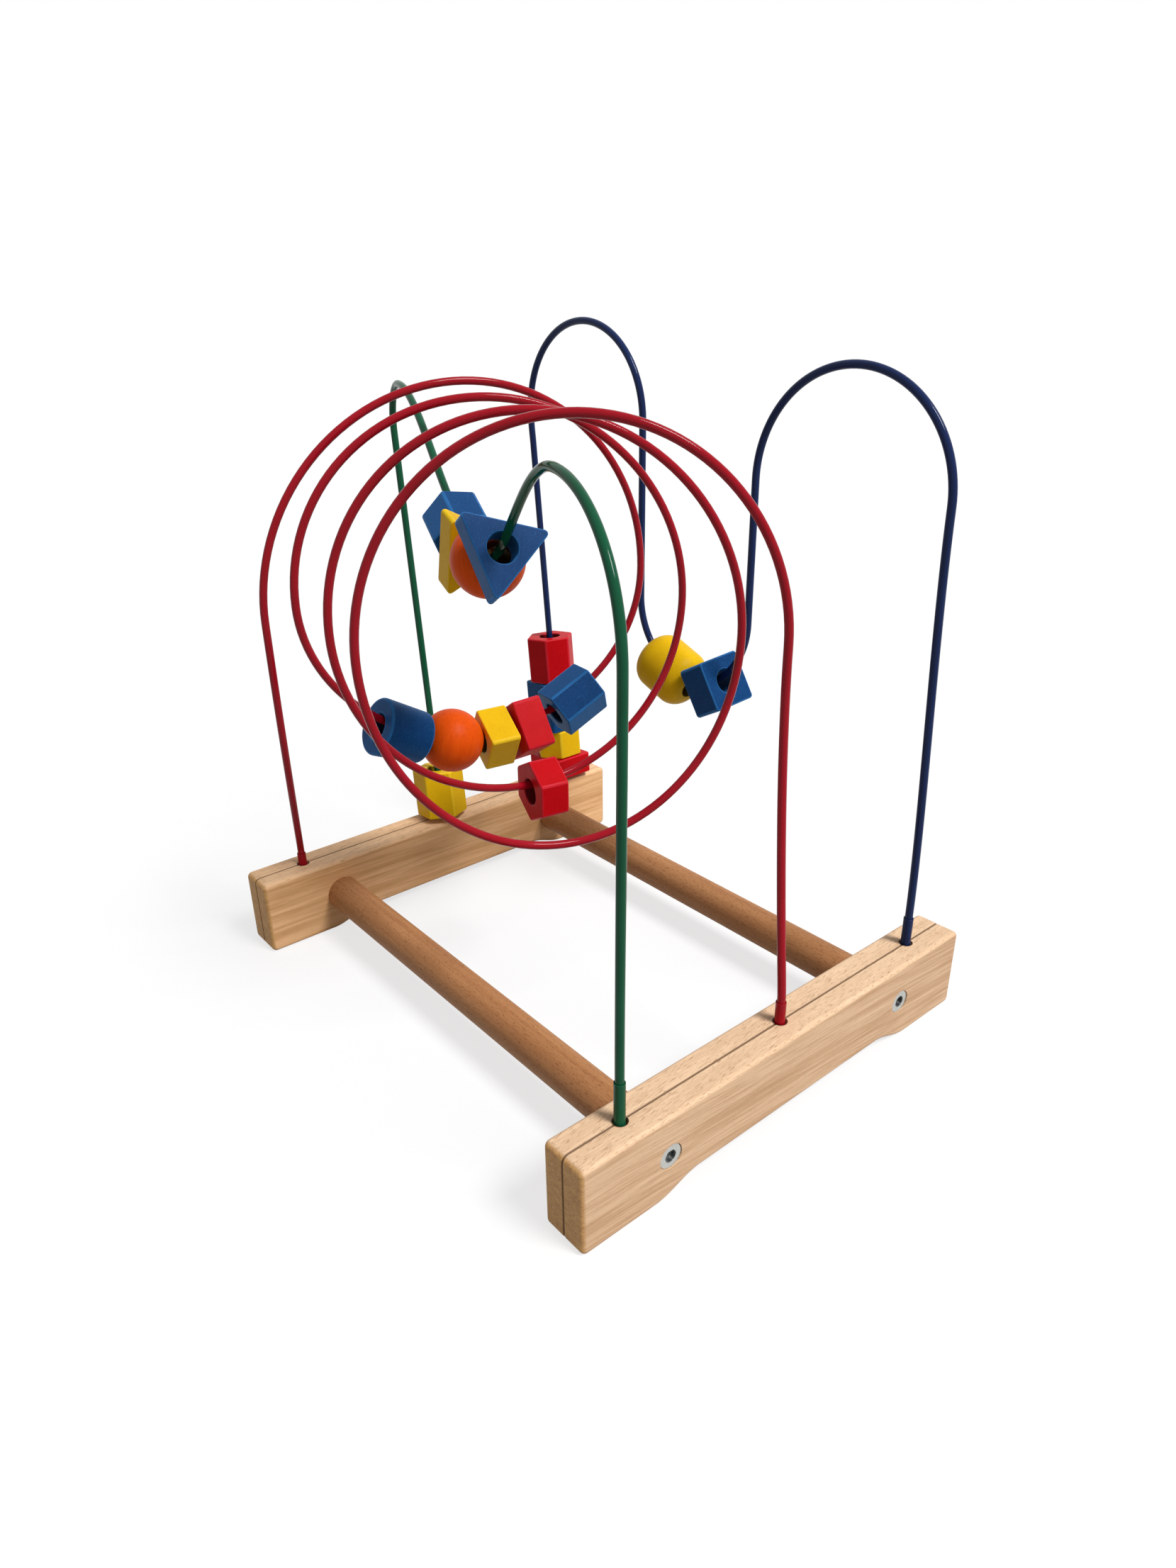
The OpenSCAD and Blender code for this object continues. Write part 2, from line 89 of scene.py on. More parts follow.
class Bench:
    """Blender's own modelling tools, used on one piece at a time."""

    @staticmethod
    def clear() -> None:
        """Leaves edit mode and deselects every object."""
        if bpy.context.object and bpy.context.object.mode != "OBJECT":
            bpy.ops.object.mode_set(mode="OBJECT")
        bpy.ops.object.select_all(action="DESELECT")

    @staticmethod
    def take(piece: Piece) -> None:
        """Makes one piece the only selected one.

        Args:
            piece: the piece to work on.
        """
        Bench.clear()
        piece.select_set(True)
        bpy.context.view_layer.objects.active = piece

    @staticmethod
    def edit(piece: Piece) -> None:
        """Opens a piece in edit mode with nothing selected.

        Args:
            piece: the piece to work on.
        """
        Bench.take(piece)
        bpy.ops.object.mode_set(mode="EDIT")
        bpy.ops.mesh.select_mode(type="VERT")
        bpy.ops.mesh.select_all(action="DESELECT")

    @staticmethod
    def done() -> None:
        """Leaves edit mode."""
        bpy.ops.object.mode_set(mode="OBJECT")

    @staticmethod
    def cylinder(radius: float, depth: float, sides: int, top: float | None = None) -> Piece:
        """Adds a cylinder or a cone along Z with its middle at the origin.

        Args:
            radius: radius of the lower end, in millimetres.
            depth: height, in millimetres.
            sides: number of sides.
            top: radius of the upper end where it differs.

        Returns:
            The new object.
        """
        Bench.clear()
        upper = radius if top is None else top
        bpy.ops.mesh.primitive_cone_add(
            vertices=sides, radius1=radius * MM, radius2=upper * MM, depth=depth * MM, end_fill_type="NGON"
        )
        return bpy.context.object

    @staticmethod
    def pick(piece: Piece, kind: str, test: Callable[[object], bool]) -> None:
        """Selects the elements of the piece in edit mode that pass a test.

        Args:
            piece: the piece in edit mode.
            kind: VERT, EDGE or FACE.
            test: takes one element.
        """
        bpy.ops.mesh.select_mode(type=kind)
        bpy.ops.mesh.select_all(action="DESELECT")
        mesh = bmesh.from_edit_mesh(piece.data)
        for element in {"VERT": mesh.verts, "EDGE": mesh.edges, "FACE": mesh.faces}[kind]:
            element.select_set(test(element))
        bmesh.update_edit_mesh(piece.data)

    @staticmethod
    def pick_top(piece: Piece) -> None:
        """Selects the faces of the piece in edit mode that look up."""
        Bench.pick(piece, "FACE", lambda face: face.normal.z > 0.9)

    @staticmethod
    def round_edges(
        piece: Piece, test: Callable[[Vector, Vector], bool], radius: float, segments: int
    ) -> None:
        """Rounds the edges of the piece in edit mode whose two ends, in millimetres, pass a test."""
        Bench.pick(piece, "EDGE", lambda edge: test(edge.verts[0].co / MM, edge.verts[1].co / MM))
        bpy.ops.mesh.bevel(offset=radius * MM, segments=segments, profile=0.5, affect="EDGES")

    @staticmethod
    def set_down(piece: Piece, place: Matrix) -> None:
        """Moves a piece and puts its place into its mesh.

        Args:
            piece: the piece to move.
            place: where it goes, in metres.
        """
        Bench.take(piece)
        piece.matrix_world = place
        bpy.ops.object.transform_apply(location=True, rotation=True, scale=True)

    @staticmethod
    def finish_modifier(piece: Piece, kind: str, **settings: object) -> None:
        """Adds a modifier with its settings and applies it.

        Args:
            piece: the piece that takes it.
            kind: the modifier's type.
            settings: the modifier's own values.
        """
        Bench.take(piece)
        modifier = piece.modifiers.new(kind.lower(), kind)
        for name, value in settings.items():
            setattr(modifier, name, value)
        bpy.ops.object.modifier_apply(modifier=modifier.name)

    @staticmethod
    def cut(piece: Piece, tool: Piece) -> None:
        """Cuts a tool's shape out of a piece and removes the tool."""
        Bench.finish_modifier(piece, "BOOLEAN", operation="DIFFERENCE", solver="EXACT", object=tool)
        bpy.data.objects.remove(tool)

    @staticmethod
    def soften(piece: Piece, width: float, segments: int = 3, angle: float = 35.0) -> None:
        """Rounds every edge that is sharper than an angle."""
        Bench.finish_modifier(
            piece, "BEVEL", width=width * MM, segments=segments, limit_method="ANGLE",
            angle_limit=math.radians(angle), use_clamp_overlap=True,
        )

    @staticmethod
    def smooth(piece: Piece, angle: float = 38.0) -> None:
        """Shades a piece smooth, with flat faces kept flat by their area.

        Args:
            piece: the finished piece.
            angle: edges sharper than this stay sharp, in degrees.
        """
        Bench.take(piece)
        bpy.ops.object.shade_smooth_by_angle(angle=math.radians(angle))
        Bench.finish_modifier(piece, "WEIGHTED_NORMAL", keep_sharp=True, weight=60)

    @staticmethod
    def join(pieces: Sequence[Piece]) -> Piece:
        """Joins pieces into the first one.

        Args:
            pieces: the pieces to join.

        Returns:
            The joined piece.
        """
        Bench.clear()
        for piece in pieces:
            piece.select_set(True)
        bpy.context.view_layer.objects.active = pieces[0]
        bpy.ops.object.join()
        return bpy.context.object


def operator(operation: str, swap: bool = False) -> Callable[["Val", "Number"], "Val"]:
    """Makes one of Python's operators for values in a node tree.

    Args:
        operation: what its Math node does.
        swap: whether the value comes second.

    Returns:
        The operator's method.
    """

    def method(value: "Val", other: "Number") -> "Val":
        """One Math node of this value and another."""
        first, second = (other, value) if swap else (value, other)
        return value.nodes.val("ShaderNodeMath", {"operation": operation}, {0: first, 1: second})

    return method


class Val:
    """A number in a node tree, on which Python's operators add Math nodes."""

    __add__ = operator("ADD")
    __radd__ = operator("ADD", True)
    __sub__ = operator("SUBTRACT")
    __rsub__ = operator("SUBTRACT", True)
    __mul__ = operator("MULTIPLY")
    __pow__ = operator("POWER")

    def __init__(self, nodes: "Nodes", socket: Socket) -> None:
        """Wraps a node's output."""
        self.nodes = nodes
        self.socket = socket

    def size(self) -> "Val":
        """The value without its sign."""
        return self.nodes.val("ShaderNodeMath", {"operation": "ABSOLUTE"}, {0: self})

    def step(self, low: float, high: float) -> "Val":
        """Soft step from 0 at low to 1 at high."""
        return self.nodes.val(
            "ShaderNodeMapRange", {"interpolation_type": "SMOOTHSTEP"},
            {"Value": self, "From Min": low, "From Max": high},
        )


Number = Union[Val, float]
Input = Union[Val, Socket, float, Sequence[float]]
Settings = dict[str, object]
Inputs = dict[Union[str, int], Input]


class Nodes:
    """A node tree, of a finish or of the sky."""

    def __init__(self, tree: bpy.types.NodeTree) -> None:
        """Takes the tree to add nodes to."""
        self.tree = tree

    def node(self, kind: str, settings: Settings, inputs: Inputs) -> bpy.types.Node:
        """Adds any node.

        Args:
            kind: the node's type.
            settings: the node's own values, set first.
            inputs: values or links of its sockets, by name or number.

        Returns:
            The new node.
        """
        made = self.tree.nodes.new(kind)
        for name, value in settings.items():
            setattr(made, name, value)
        for key, value in inputs.items():
            self.feed(made.inputs[key], value)
        return made

    def feed(self, target: Socket, value: Input) -> None:
        """Links a value to a socket, or sets it there.

        Args:
            target: the socket that takes it.
            value: the value or link.
        """
        if isinstance(value, Val):
            self.tree.links.new(value.socket, target)
        elif isinstance(value, Socket):
            self.tree.links.new(value, target)
        else:
            target.default_value = value

    def val(self, kind: str, settings: Settings, inputs: Inputs, out: int = 0) -> Val:
        """Adds a node and wraps one of its outputs as a number."""
        return Val(self, self.node(kind, settings, inputs).outputs[out])

    def seen(self) -> Val:
        """Tells what the camera sees from other light.

        Returns:
            Above 0 for the camera, and for what it sees in a mirror or through glass.
        """
        rays = self.node("ShaderNodeLightPath", {}, {}).outputs
        camera, glossy = Val(self, rays["Is Camera Ray"]), Val(self, rays["Is Glossy Ray"])
        return camera + glossy + Val(self, rays["Is Transmission Ray"])


class Shader(Nodes):
    """The node tree of one finish."""

    def __init__(self, name: str) -> None:
        """Makes an empty material with one Principled shader.

        Args:
            name: the material's name.
        """
        self.material = bpy.data.materials.new(name)
        self.material.use_nodes = True
        super().__init__(self.material.node_tree)
        self.tree.nodes.clear()
        self.output = self.tree.nodes.new("ShaderNodeOutputMaterial")
        self.surface = self.tree.nodes.new("ShaderNodeBsdfPrincipled")
        self.feed(self.output.inputs["Surface"], self.surface.outputs[0])

    def place(self) -> Socket:
        """The point on the piece, in the shared frame."""
        return self.node("ShaderNodeTexCoord", {}, {}).outputs["Object"]

    def local(self, place: Matrix) -> Socket:
        """The point on the piece, in the piece's own frame.

        Args:
            place: where the piece's own frame is.

        Returns:
            A vector socket.
        """
        where, turn, _ = place.decompose()
        return self.node(
            "ShaderNodeMapping", {"vector_type": "TEXTURE"},
            {"Vector": self.place(), "Location": where, "Rotation": turn.to_euler("XYZ")},
        ).outputs[0]

    def axes(self, vector: Socket) -> tuple[Val, Val, Val]:
        """The three numbers of a vector."""
        split = self.node("ShaderNodeSeparateXYZ", {}, {0: vector})
        return Val(self, split.outputs[0]), Val(self, split.outputs[1]), Val(self, split.outputs[2])

    def mapped(self, vector: Socket, **inputs: Input) -> Socket:
        """A vector that is moved, turned or stretched."""
        return self.node("ShaderNodeMapping", {}, {"Vector": vector, **inputs}).outputs[0]

    def noise(self, vector: Socket, stretch: Point, detail: float = 2.0, warp: float = 0.0) -> Val:
        """Noise that is stretched along the axes.

        Args:
            vector: the point.
            stretch: spots per metre along X, Y and Z.
            detail: layers of finer noise.
            warp: how much the noise bends itself.

        Returns:
            A number from 0 to 1.
        """
        scaled = self.mapped(vector, Scale=stretch)
        return self.val(
            "ShaderNodeTexNoise", {"noise_dimensions": "3D"},
            {"Vector": scaled, "Scale": 1.0, "Detail": detail, "Distortion": warp},
        )

    def blend(self, share: Number, first: Input, second: Input) -> Socket:
        """Colour between two colours.

        Args:
            share: of the second colour.
            first: linear values or a link.
            second: linear values or a link.

        Returns:
            A colour socket.
        """
        made = self.node("ShaderNodeMix", {"data_type": "RGBA"}, {0: share})
        for number, colour in ((6, first), (7, second)):
            self.feed(made.inputs[number], colour if isinstance(colour, Socket) else (*colour, 1.0))
        return made.outputs[2]

    def bump(self, height: Val, depth: float, strength: float) -> None:
        """Raises the surface by a height from 0 to 1.

        Args:
            height: the pattern.
            depth: full height in millimetres.
            strength: share of the effect.
        """
        values = {"Strength": strength, "Distance": depth * MM, "Height": height}
        made = self.node("ShaderNodeBump", {}, values)
        self.feed(self.surface.inputs["Normal"], made.outputs[0])

    def set(self, **inputs: Input) -> None:
        """Sets or links the Principled shader's sockets, with underscores for spaces."""
        for name, value in inputs.items():
            self.feed(self.surface.inputs[name.replace("_", " ")], value)


class Grain(Enum):
    """The way the fibres of a wooden piece run."""

    ALONG_X = 0
    ALONG_Y = 1


@dataclass(frozen=True)
class Figure:
    """The patterns of a wooden surface, each as a number from 0 to 1."""

    tone: Val
    fibre: Val
    fine: Val
    fleck: Val


@dataclass(frozen=True)
class Timber:
    """Bare wood with soft growth bands, fine fibres and short dark flecks."""

    name: str
    pale: Colour
    deep: Colour
    dark: Colour
    grain: Grain
    band: float = 11.0
    bands: float = 1.3
    streaks: float = 0.9
    fibres: float = 0.6
    flecks: float = 0.5
    fleck_length: float = 3.0
    slant: tuple[float, float, float] = (0.0, 0.0, 0.0)
    fleck_slant: float = 0.0
    offset: float = 0.0
    rough: float = 0.48
    specular: float = 0.22
    relief: float = 0.10

    def stretch(self, along: float, across: float) -> tuple[float, float, float]:
        """Spots per metre, few along the fibres and many across."""
        return (along, across, across) if self.grain is Grain.ALONG_X else (across, along, across)

    def figure(self, shader: Shader) -> Figure:
        """Lays the fibres out along the piece.

        Args:
            shader: the finish in the making.

        Returns:
            The patterns.
        """
        turn = tuple(math.radians(angle) for angle in self.slant)
        point = shader.mapped(shader.place(), Location=(self.offset,) * 3, Rotation=turn)
        cloud = shader.noise(point, self.stretch(5.0, 1000.0 / self.band), 3.0, 0.5)
        streak = shader.noise(point, self.stretch(11.0, 340.0), 2.0, 0.3)
        fibre = shader.noise(point, self.stretch(30.0, 1500.0), 2.0)
        fine = shader.noise(point, self.stretch(160.0, 3200.0), 2.0)
        turned = shader.mapped(point, Rotation=(0.0, 0.0, math.radians(self.fleck_slant)))
        fleck = shader.noise(turned, self.stretch(1000.0 / self.fleck_length, 2700.0), 1.5).step(0.57, 0.69)
        tone = (cloud - 0.5) * self.bands + (streak - 0.5) * self.streaks + (fibre - 0.5) * self.fibres
        return Figure((tone + 0.5).step(0.0, 1.0), fibre, fine, fleck)

    def finish(self, shader: Shader, figure: Figure, colour: Socket, flecks: Number) -> None:
        """Adds the flecks, the sheen and the feel of the fibres.

        Args:
            shader: the finish in the making.
            figure: the patterns.
            colour: the wood without flecks.
            flecks: share of the flecks.
        """
        shader.set(
            Base_Color=shader.blend(figure.fleck * flecks, colour, self.dark),
            Roughness=self.rough + figure.fibre * 0.14 + figure.fleck * 0.1,
            Specular_IOR_Level=self.specular,
        )
        shader.bump(figure.fibre * 0.5 + figure.fine * 0.4 - figure.fleck * 0.7, self.relief, 0.4)

    def make(self) -> Material:
        """Builds the material.

        Returns:
            The material.
        """
        shader = Shader(self.name)
        figure = self.figure(shader)
        self.finish(shader, figure, shader.blend(figure.tone, self.pale, self.deep), self.flecks)
        return shader.material


@dataclass(frozen=True)
class RailTimber(Timber):
    """Rail board wood: flecked top painted paler as lit, warm end grain, painted shade in the seam and wire
    holes.
    """

    # Paler colour of the faces that look up: painted light, as if lit from above.
    top: Colour = (0.92, 0.670, 0.450)
    end: Colour = (0.74, 0.41, 0.145)
    end_dark: Colour = (0.48, 0.235, 0.080)
    shade: Colour = (0.10, 0.048, 0.020)
    top_flecks: float = 0.6
    hole_shade: float = 3.7
    edge: float = 2.2

    def make(self) -> Material:
        """Builds the material.

        Returns:
            The material.
        """
        shader = Shader(self.name)
        figure = self.figure(shader)
        x, y, z = shader.axes(shader.place())
        away = ((x - SHIFT.x * MM).size() - Plan.SEAM_X * MM) * (1.0 / MM)
        along = y * (1.0 / MM)
        up = z * (1.0 / MM)
        on_top = up.step(Plan.HEIGHT - self.edge, Plan.HEIGHT - 0.8)
        on_end = along.size().step(Plan.LENGTH / 2 - self.edge, Plan.LENGTH / 2 - 0.7)
        wood = shader.blend(figure.tone, self.pale, self.deep)
        # Painted light: the faces that look up are made paler, as if lit from above.
        wood = shader.blend(on_top * (0.3 + figure.fine * 0.3), wood, self.top)
        pore = shader.noise(shader.place(), (1300.0, 300.0, 1300.0), 2.0)
        ring = shader.noise(shader.place(), (160.0, 8.0, 420.0), 2.0, 0.4)
        rings = ((pore - 0.5) * 1.6 + (ring - 0.5) * 1.2 + 0.45).step(0.0, 1.0)
        wood = shader.blend(on_end * 0.9, wood, shader.blend(rings, self.end, self.end_dark))
        # Rounded top edges made paler: partly wear, partly a painted highlight.
        edge_wear_and_highlight = (away.size().step(Plan.BOARD - 2.0, Plan.BOARD - 0.4) * on_top) * (0.25 + figure.fine * 0.5)
        wood = shader.blend(edge_wear_and_highlight, wood, self.pale)
        # Painted shade: the seam between the boards and the wire holes are darkened towards the shade colour.
        seam = 1.0 - away.size().step(0.25, 0.9)
        fold = {0: along.size(), 1: Plan.HOLE_Y / 2.0}
        near_hole = shader.val("ShaderNodeMath", {"operation": "PINGPONG"}, fold)
        reach = (near_hole * near_hole + away * away) ** 0.5
        painted_hole_shade = 1.0 - reach.step(self.hole_shade - 0.7, self.hole_shade + 0.2)
        wood = shader.blend((seam * 0.75 + painted_hole_shade).step(0.0, 1.0), wood, self.shade)
        self.finish(shader, figure, wood, on_top * self.top_flecks + (1.0 - on_top) * self.flecks)
        return shader.material


@dataclass(frozen=True)
class Enamel:
    """Thick glossy coat on a wire or sleeve."""

    name: str
    colour: Colour
    light: Colour
    gloss: float = 0.07
    specular: float = 0.11
    relief: float = 0.10

    def make(self) -> Material:
        """Builds the material.

        Returns:
            The material.
        """
        shader = Shader(self.name)
        point = shader.place()
        run = shader.noise(point, (38.0, 38.0, 38.0), 2.0)
        speck = shader.noise(point, (420.0, 420.0, 420.0), 1.0).step(0.66, 0.8)
        shader.set(
            Base_Color=shader.blend((run - 0.2) * 0.8 + speck * 0.06, self.colour, self.light),
            Roughness=self.gloss + run * 0.05 + speck * 0.05,
            Specular_IOR_Level=self.specular,
        )
        shader.bump(run, self.relief, 0.1)
        return shader.material


@dataclass(frozen=True)
class Paint:
    """Satin paint on a wooden bead: fibres show, edges are rubbed, shade is painted in and round the bore."""

    colour: Colour
    deep: Colour
    pale: Colour
    grain: float = 0.5
    sheen: float = 0.0
    bore: float = 6.4
    lip: float = 7.4
    fade: float = 2.0
    shade: Colour = (0.004, 0.004, 0.004)
    shading: float = 0.94
    rough: float = 0.33
    specular: float = 0.07
    sheen_rough: float = 0.45
    relief: float = 0.10

    def make(self, name: str, place: Matrix, mouth: float) -> Material:
        """Builds the material for one bead.

        Args:
            name: the material's name.
            place: where the bead's own frame is, with the bore along its Z.
            mouth: how far the shade of the bead in front reaches from the bore's middle, in millimetres.

        Returns:
            The material.
        """
        shader = Shader(name)
        point = shader.local(place)
        fibre = shader.noise(point, (60.0, 620.0, 620.0), 3.0)
        stroke = shader.noise(point, (110.0, 420.0, 420.0), 1.0, 0.6).step(0.60, 0.78)
        cloud = shader.noise(point, (70.0, 70.0, 70.0), 2.0)
        speck = shader.noise(point, (1500.0, 1500.0, 1500.0), 1.0)
        depth = ((fibre - 0.42) * self.grain + (cloud - 0.5) * 0.6 + 0.25).step(0.0, 1.0)
        body = shader.blend(depth, self.colour, self.deep)
        # Pale specks: partly speckle in the paint, partly painted glints.
        body = shader.blend(speck.step(0.58, 0.78) * 0.22, body, self.pale)
        body = shader.blend(stroke * self.grain * 0.35, body, self.deep)
        rub = shader.val("ShaderNodeAttribute", {"attribute_name": WEAR}, {}, 2) * (0.12 + cloud * 0.5)
        body = shader.blend(rub, body, self.pale)
        across, over, along = shader.axes(point)
        # Painted shade: dark inside the bore, and in a ring round the bore on the end that faces the bead in
        # front.
        reach = (across * across + over * over) ** 0.5
        inside = 1.0 - reach.step(self.bore * MM, self.lip * MM)
        behind = (1.0 - reach.step((mouth - self.fade) * MM, mouth * MM)) * (1.0 - along.step(-MM, 0.0))
        bore_shade = inside + behind - inside * behind
        shader.set(
            Base_Color=shader.blend(bore_shade * self.shading, body, self.shade),
            Roughness=self.rough + fibre * 0.12 + speck * 0.08,
            Specular_IOR_Level=self.specular,
            Sheen_Weight=self.sheen,
            Sheen_Roughness=self.sheen_rough,
            Sheen_Tint=(*self.pale, 1.0),
        )
        shader.bump(fibre * 0.55 + speck * 0.25 - stroke * 0.3, self.relief, 0.4)
        return shader.material


@dataclass(frozen=True)
class Zinc:
    """Bright plated screw head, with shade painted into its socket."""

    name: str
    socket: float = 3.2
    bright: Colour = (0.60, 0.61, 0.58)
    dull: Colour = (0.42, 0.43, 0.41)
    shade: Colour = (0.03, 0.035, 0.04)

    def make(self) -> Material:
        """Builds the material.

        Returns:
            The material.
        """
        shader = Shader(self.name)
        point = shader.place()
        _, y, z = shader.axes(point)
        across = y.size() - Plan.BAR_Y * MM
        up = z - Plan.BAR_Z * MM
        reach = (across * across + up * up) ** 0.5
        # Painted shade: the socket is darkened and made less metallic, as a shaded recess.
        socket_shade = 1.0 - reach.step((self.socket - 0.5) * MM, (self.socket + 0.1) * MM)
        spot = shader.noise(point, (700.0, 700.0, 700.0), 3.0)
        plate = shader.blend(spot, self.bright, self.dull)
        shader.set(
            Base_Color=shader.blend(socket_shade * 0.93, plate, self.shade),
            Metallic=0.92 - socket_shade * 0.5,
            Roughness=0.30 + spot * 0.18 + socket_shade * 0.15,
        )
        shader.bump(spot, 0.05, 0.3)
        return shader.material


class BeadPaint(Enum):
    """The four bead colours."""

    BLUE = Paint((0.004, 0.048, 0.168), (0.001, 0.022, 0.088), (0.05, 0.27, 0.66), 0.5, 1.0)
    YELLOW = Paint((0.80, 0.48, 0.005), (0.66, 0.36, 0.003), (0.94, 0.70, 0.04), 0.55)
    RED = Paint((0.53, 0.002, 0.006), (0.40, 0.001, 0.003), (0.72, 0.04, 0.07), 0.45)
    ORANGE = Paint((0.76, 0.086, 0.003), (0.58, 0.050, 0.002), (0.90, 0.20, 0.03), 0.9)


def show(piece: Piece, node: str, body: str, material: Material) -> None:
    """Dresses a finished piece and lets it stand for its CAD node.

    Args:
        piece: the finished piece.
        node: the CAD node that it replaces.
        body: the body that it rides on.
        material: its finish.
    """
    piece.name = node + "_piece"
    piece.data.name = piece.name
    piece.data.materials.clear()
    piece.data.materials.append(material)
    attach(piece, body)
    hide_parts(node)
    LOG.info("%s: %d faces on %s", piece.name, len(piece.data.polygons), body)


@dataclass
class Rails:
    """Two rails of two boards each, with wire holes, crossbar holes and sunk screw holes."""

    foot: float = 40.0
    ramp: float = 26.0
    ramp_steps: int = 16
    rise: float = 6.0
    end_round: float = 3.0
    face_round: float = 2.2
    seam_round: float = 0.9
    mouth_d: float = 6.8
    mouth_depth: float = 2.4
    mouth_shift: float = 0.5
    hole_d: float = 5.1
    bar_d: float = 20.1
    head_d: float = 12.5
    head_depth: float = 3.4
    screw_d: float = 6.1
    front: RailTimber = RailTimber(
        "pale_beech", (0.80, 0.540, 0.340), (0.56, 0.330, 0.180), (0.34, 0.175, 0.080), Grain.ALONG_Y,
        bands=0.9, streaks=1.4, fibres=1.7, flecks=0.16, fleck_length=6.0, slant=(4.0, 0.0, 0.0),
        fleck_slant=-7.0,
    )
    rear: RailTimber = RailTimber(
        "tan_beech", (0.92, 0.550, 0.280), (0.68, 0.360, 0.150), (0.36, 0.155, 0.055), Grain.ALONG_Y,
        band=8.0, streaks=1.6, fibres=1.3, flecks=0.15, fleck_length=6.0, slant=(1.0, 0.0, 0.5), offset=0.37,
    )

    def inner(self) -> float:
        """Where the ramps of the underside begin, from the middle of the rail."""
        return Plan.LENGTH / 2 - self.foot - self.ramp

    def under(self, y: float) -> float:
        """Height of the underside at a place along the rail."""
        share = min(max((abs(y) - self.inner()) / self.ramp, 0.0), 1.0)
        return self.rise * (1 + math.cos(math.pi * share)) / 2

    def blank(self, side: int, outer: bool) -> Piece:
        """Shapes one board without its holes.

        Args:
            side: 1 for the front rail, -1 for the rear one.
            outer: whether it is the board away from the middle.

        Returns:
            The board, in its place.
        """
        middle = side * (Plan.SEAM_X + (Plan.BOARD / 2 if outer else -Plan.BOARD / 2))
        Bench.clear()
        bpy.ops.mesh.primitive_cube_add(size=1.0)
        piece = bpy.context.object
        size = Matrix.Diagonal((Plan.BOARD * MM, Plan.LENGTH * MM, Plan.HEIGHT * MM, 1.0))
        Bench.set_down(piece, Matrix.Translation(UP * (Plan.HEIGHT / 2 * MM)) @ size)
        Bench.edit(piece)
        steps = [self.inner() + self.ramp * i / self.ramp_steps for i in range(self.ramp_steps + 1)]
        stations = [end * step for end in (-1, 1) for step in steps]
        for y in stations:
            bpy.ops.mesh.select_all(action="SELECT")
            bpy.ops.mesh.bisect(plane_co=(0, y * MM, 0), plane_no=(0, 1, 0))
        for y in stations:
            lift = self.under(y)
            if lift > CLOSE:
                Bench.pick(piece, "VERT", lambda v: abs(v.co.y / MM - y) < CLOSE and v.co.z / MM < 1.0)
                bpy.ops.transform.translate(value=(0, 0, lift * MM))
        Bench.round_edges(piece, self.on_end, self.end_round, 6)
        away = side if outer else -side
        for face, radius, segments in ((away, self.face_round, 5), (-away, self.seam_round, 3)):
            x = face * Plan.BOARD / 2

            def on_face(a: Vector, b: Vector) -> bool:
                """Whether an edge lies on the outline of this face."""
                return abs(a.x - x) < CLOSE and abs(b.x - x) < CLOSE and self.on_rim(a, b)

            Bench.round_edges(piece, on_face, radius, segments)
        Bench.done()
        Bench.set_down(piece, Matrix.Translation((Vector((middle, 0, 0)) + SHIFT) * MM))
        return piece

    def on_end(self, a: Vector, b: Vector) -> bool:
        """Whether an edge runs across the end of a board."""
        level = abs(a.y - b.y) < CLOSE and abs(a.z - b.z) < CLOSE
        return level and abs(abs(a.y) - Plan.LENGTH / 2) < CLOSE

    def on_rim(self, a: Vector, b: Vector) -> bool:
        """Whether an edge of a board's face lies on its outline, and isn't a cut across it."""
        across = abs(a.y - b.y) < CLOSE and abs(a.y) < Plan.LENGTH / 2 - self.end_round - CLOSE
        return not across

    def drill(self, piece: Piece, at: Vector, direction: Vector, diameter: float, depth: float) -> None:
        """Drills a round hole.

        Args:
            piece: the board.
            at: the mouth of the hole in millimetres, in the shared frame.
            direction: the way the drill goes in.
            diameter: of the hole.
            depth: of the hole.
        """
        tool = Bench.cylinder(diameter / 2, depth + OVERLAP, ROUND)
        turn = direction.to_track_quat("Z", "Y").to_matrix().to_4x4()
        Bench.set_down(tool, Matrix.Translation((at + direction * (depth - OVERLAP) / 2) * MM) @ turn)
        Bench.cut(piece, tool)

    def build(self) -> None:
        """Builds and dresses the four boards."""
        finishes = {1: self.front.make(), -1: self.rear.make()}
        for side, name in ((1, "front"), (-1, "rear")):
            for outer in (False, True):
                piece = self.blank(side, outer)
                for y in (-Plan.HOLE_Y, 0.0, Plan.HOLE_Y):
                    top = Vector((side * Plan.SEAM_X, y, Plan.HEIGHT)) + SHIFT
                    self.drill(piece, top, -UP, self.hole_d, Plan.HOLE_DEPTH)
                    mouth = top + Vector((0, self.mouth_shift, 0))
                    self.drill(piece, mouth, -UP, self.mouth_d, self.mouth_depth)
                for y in (-Plan.BAR_Y, Plan.BAR_Y):
                    inward = Vector((-side, 0, 0))
                    if outer:
                        face = Vector((side * (Plan.SEAM_X + Plan.BOARD), y, Plan.BAR_Z)) + SHIFT
                        self.drill(piece, face, inward, self.head_d, self.head_depth)
                        self.drill(piece, face, inward, self.screw_d, Plan.BOARD + OVERLAP)
                    else:
                        face = Vector((side * (Plan.SEAM_X + OVERLAP / 2), y, Plan.BAR_Z)) + SHIFT
                        self.drill(piece, face, inward, self.bar_d, Plan.BOARD + 1.5 * OVERLAP)
                Bench.smooth(piece, 30.0)
                node = f"rail_{name}_{'outer' if outer else 'inner'}"
                show(piece, node, "base", finishes[side])


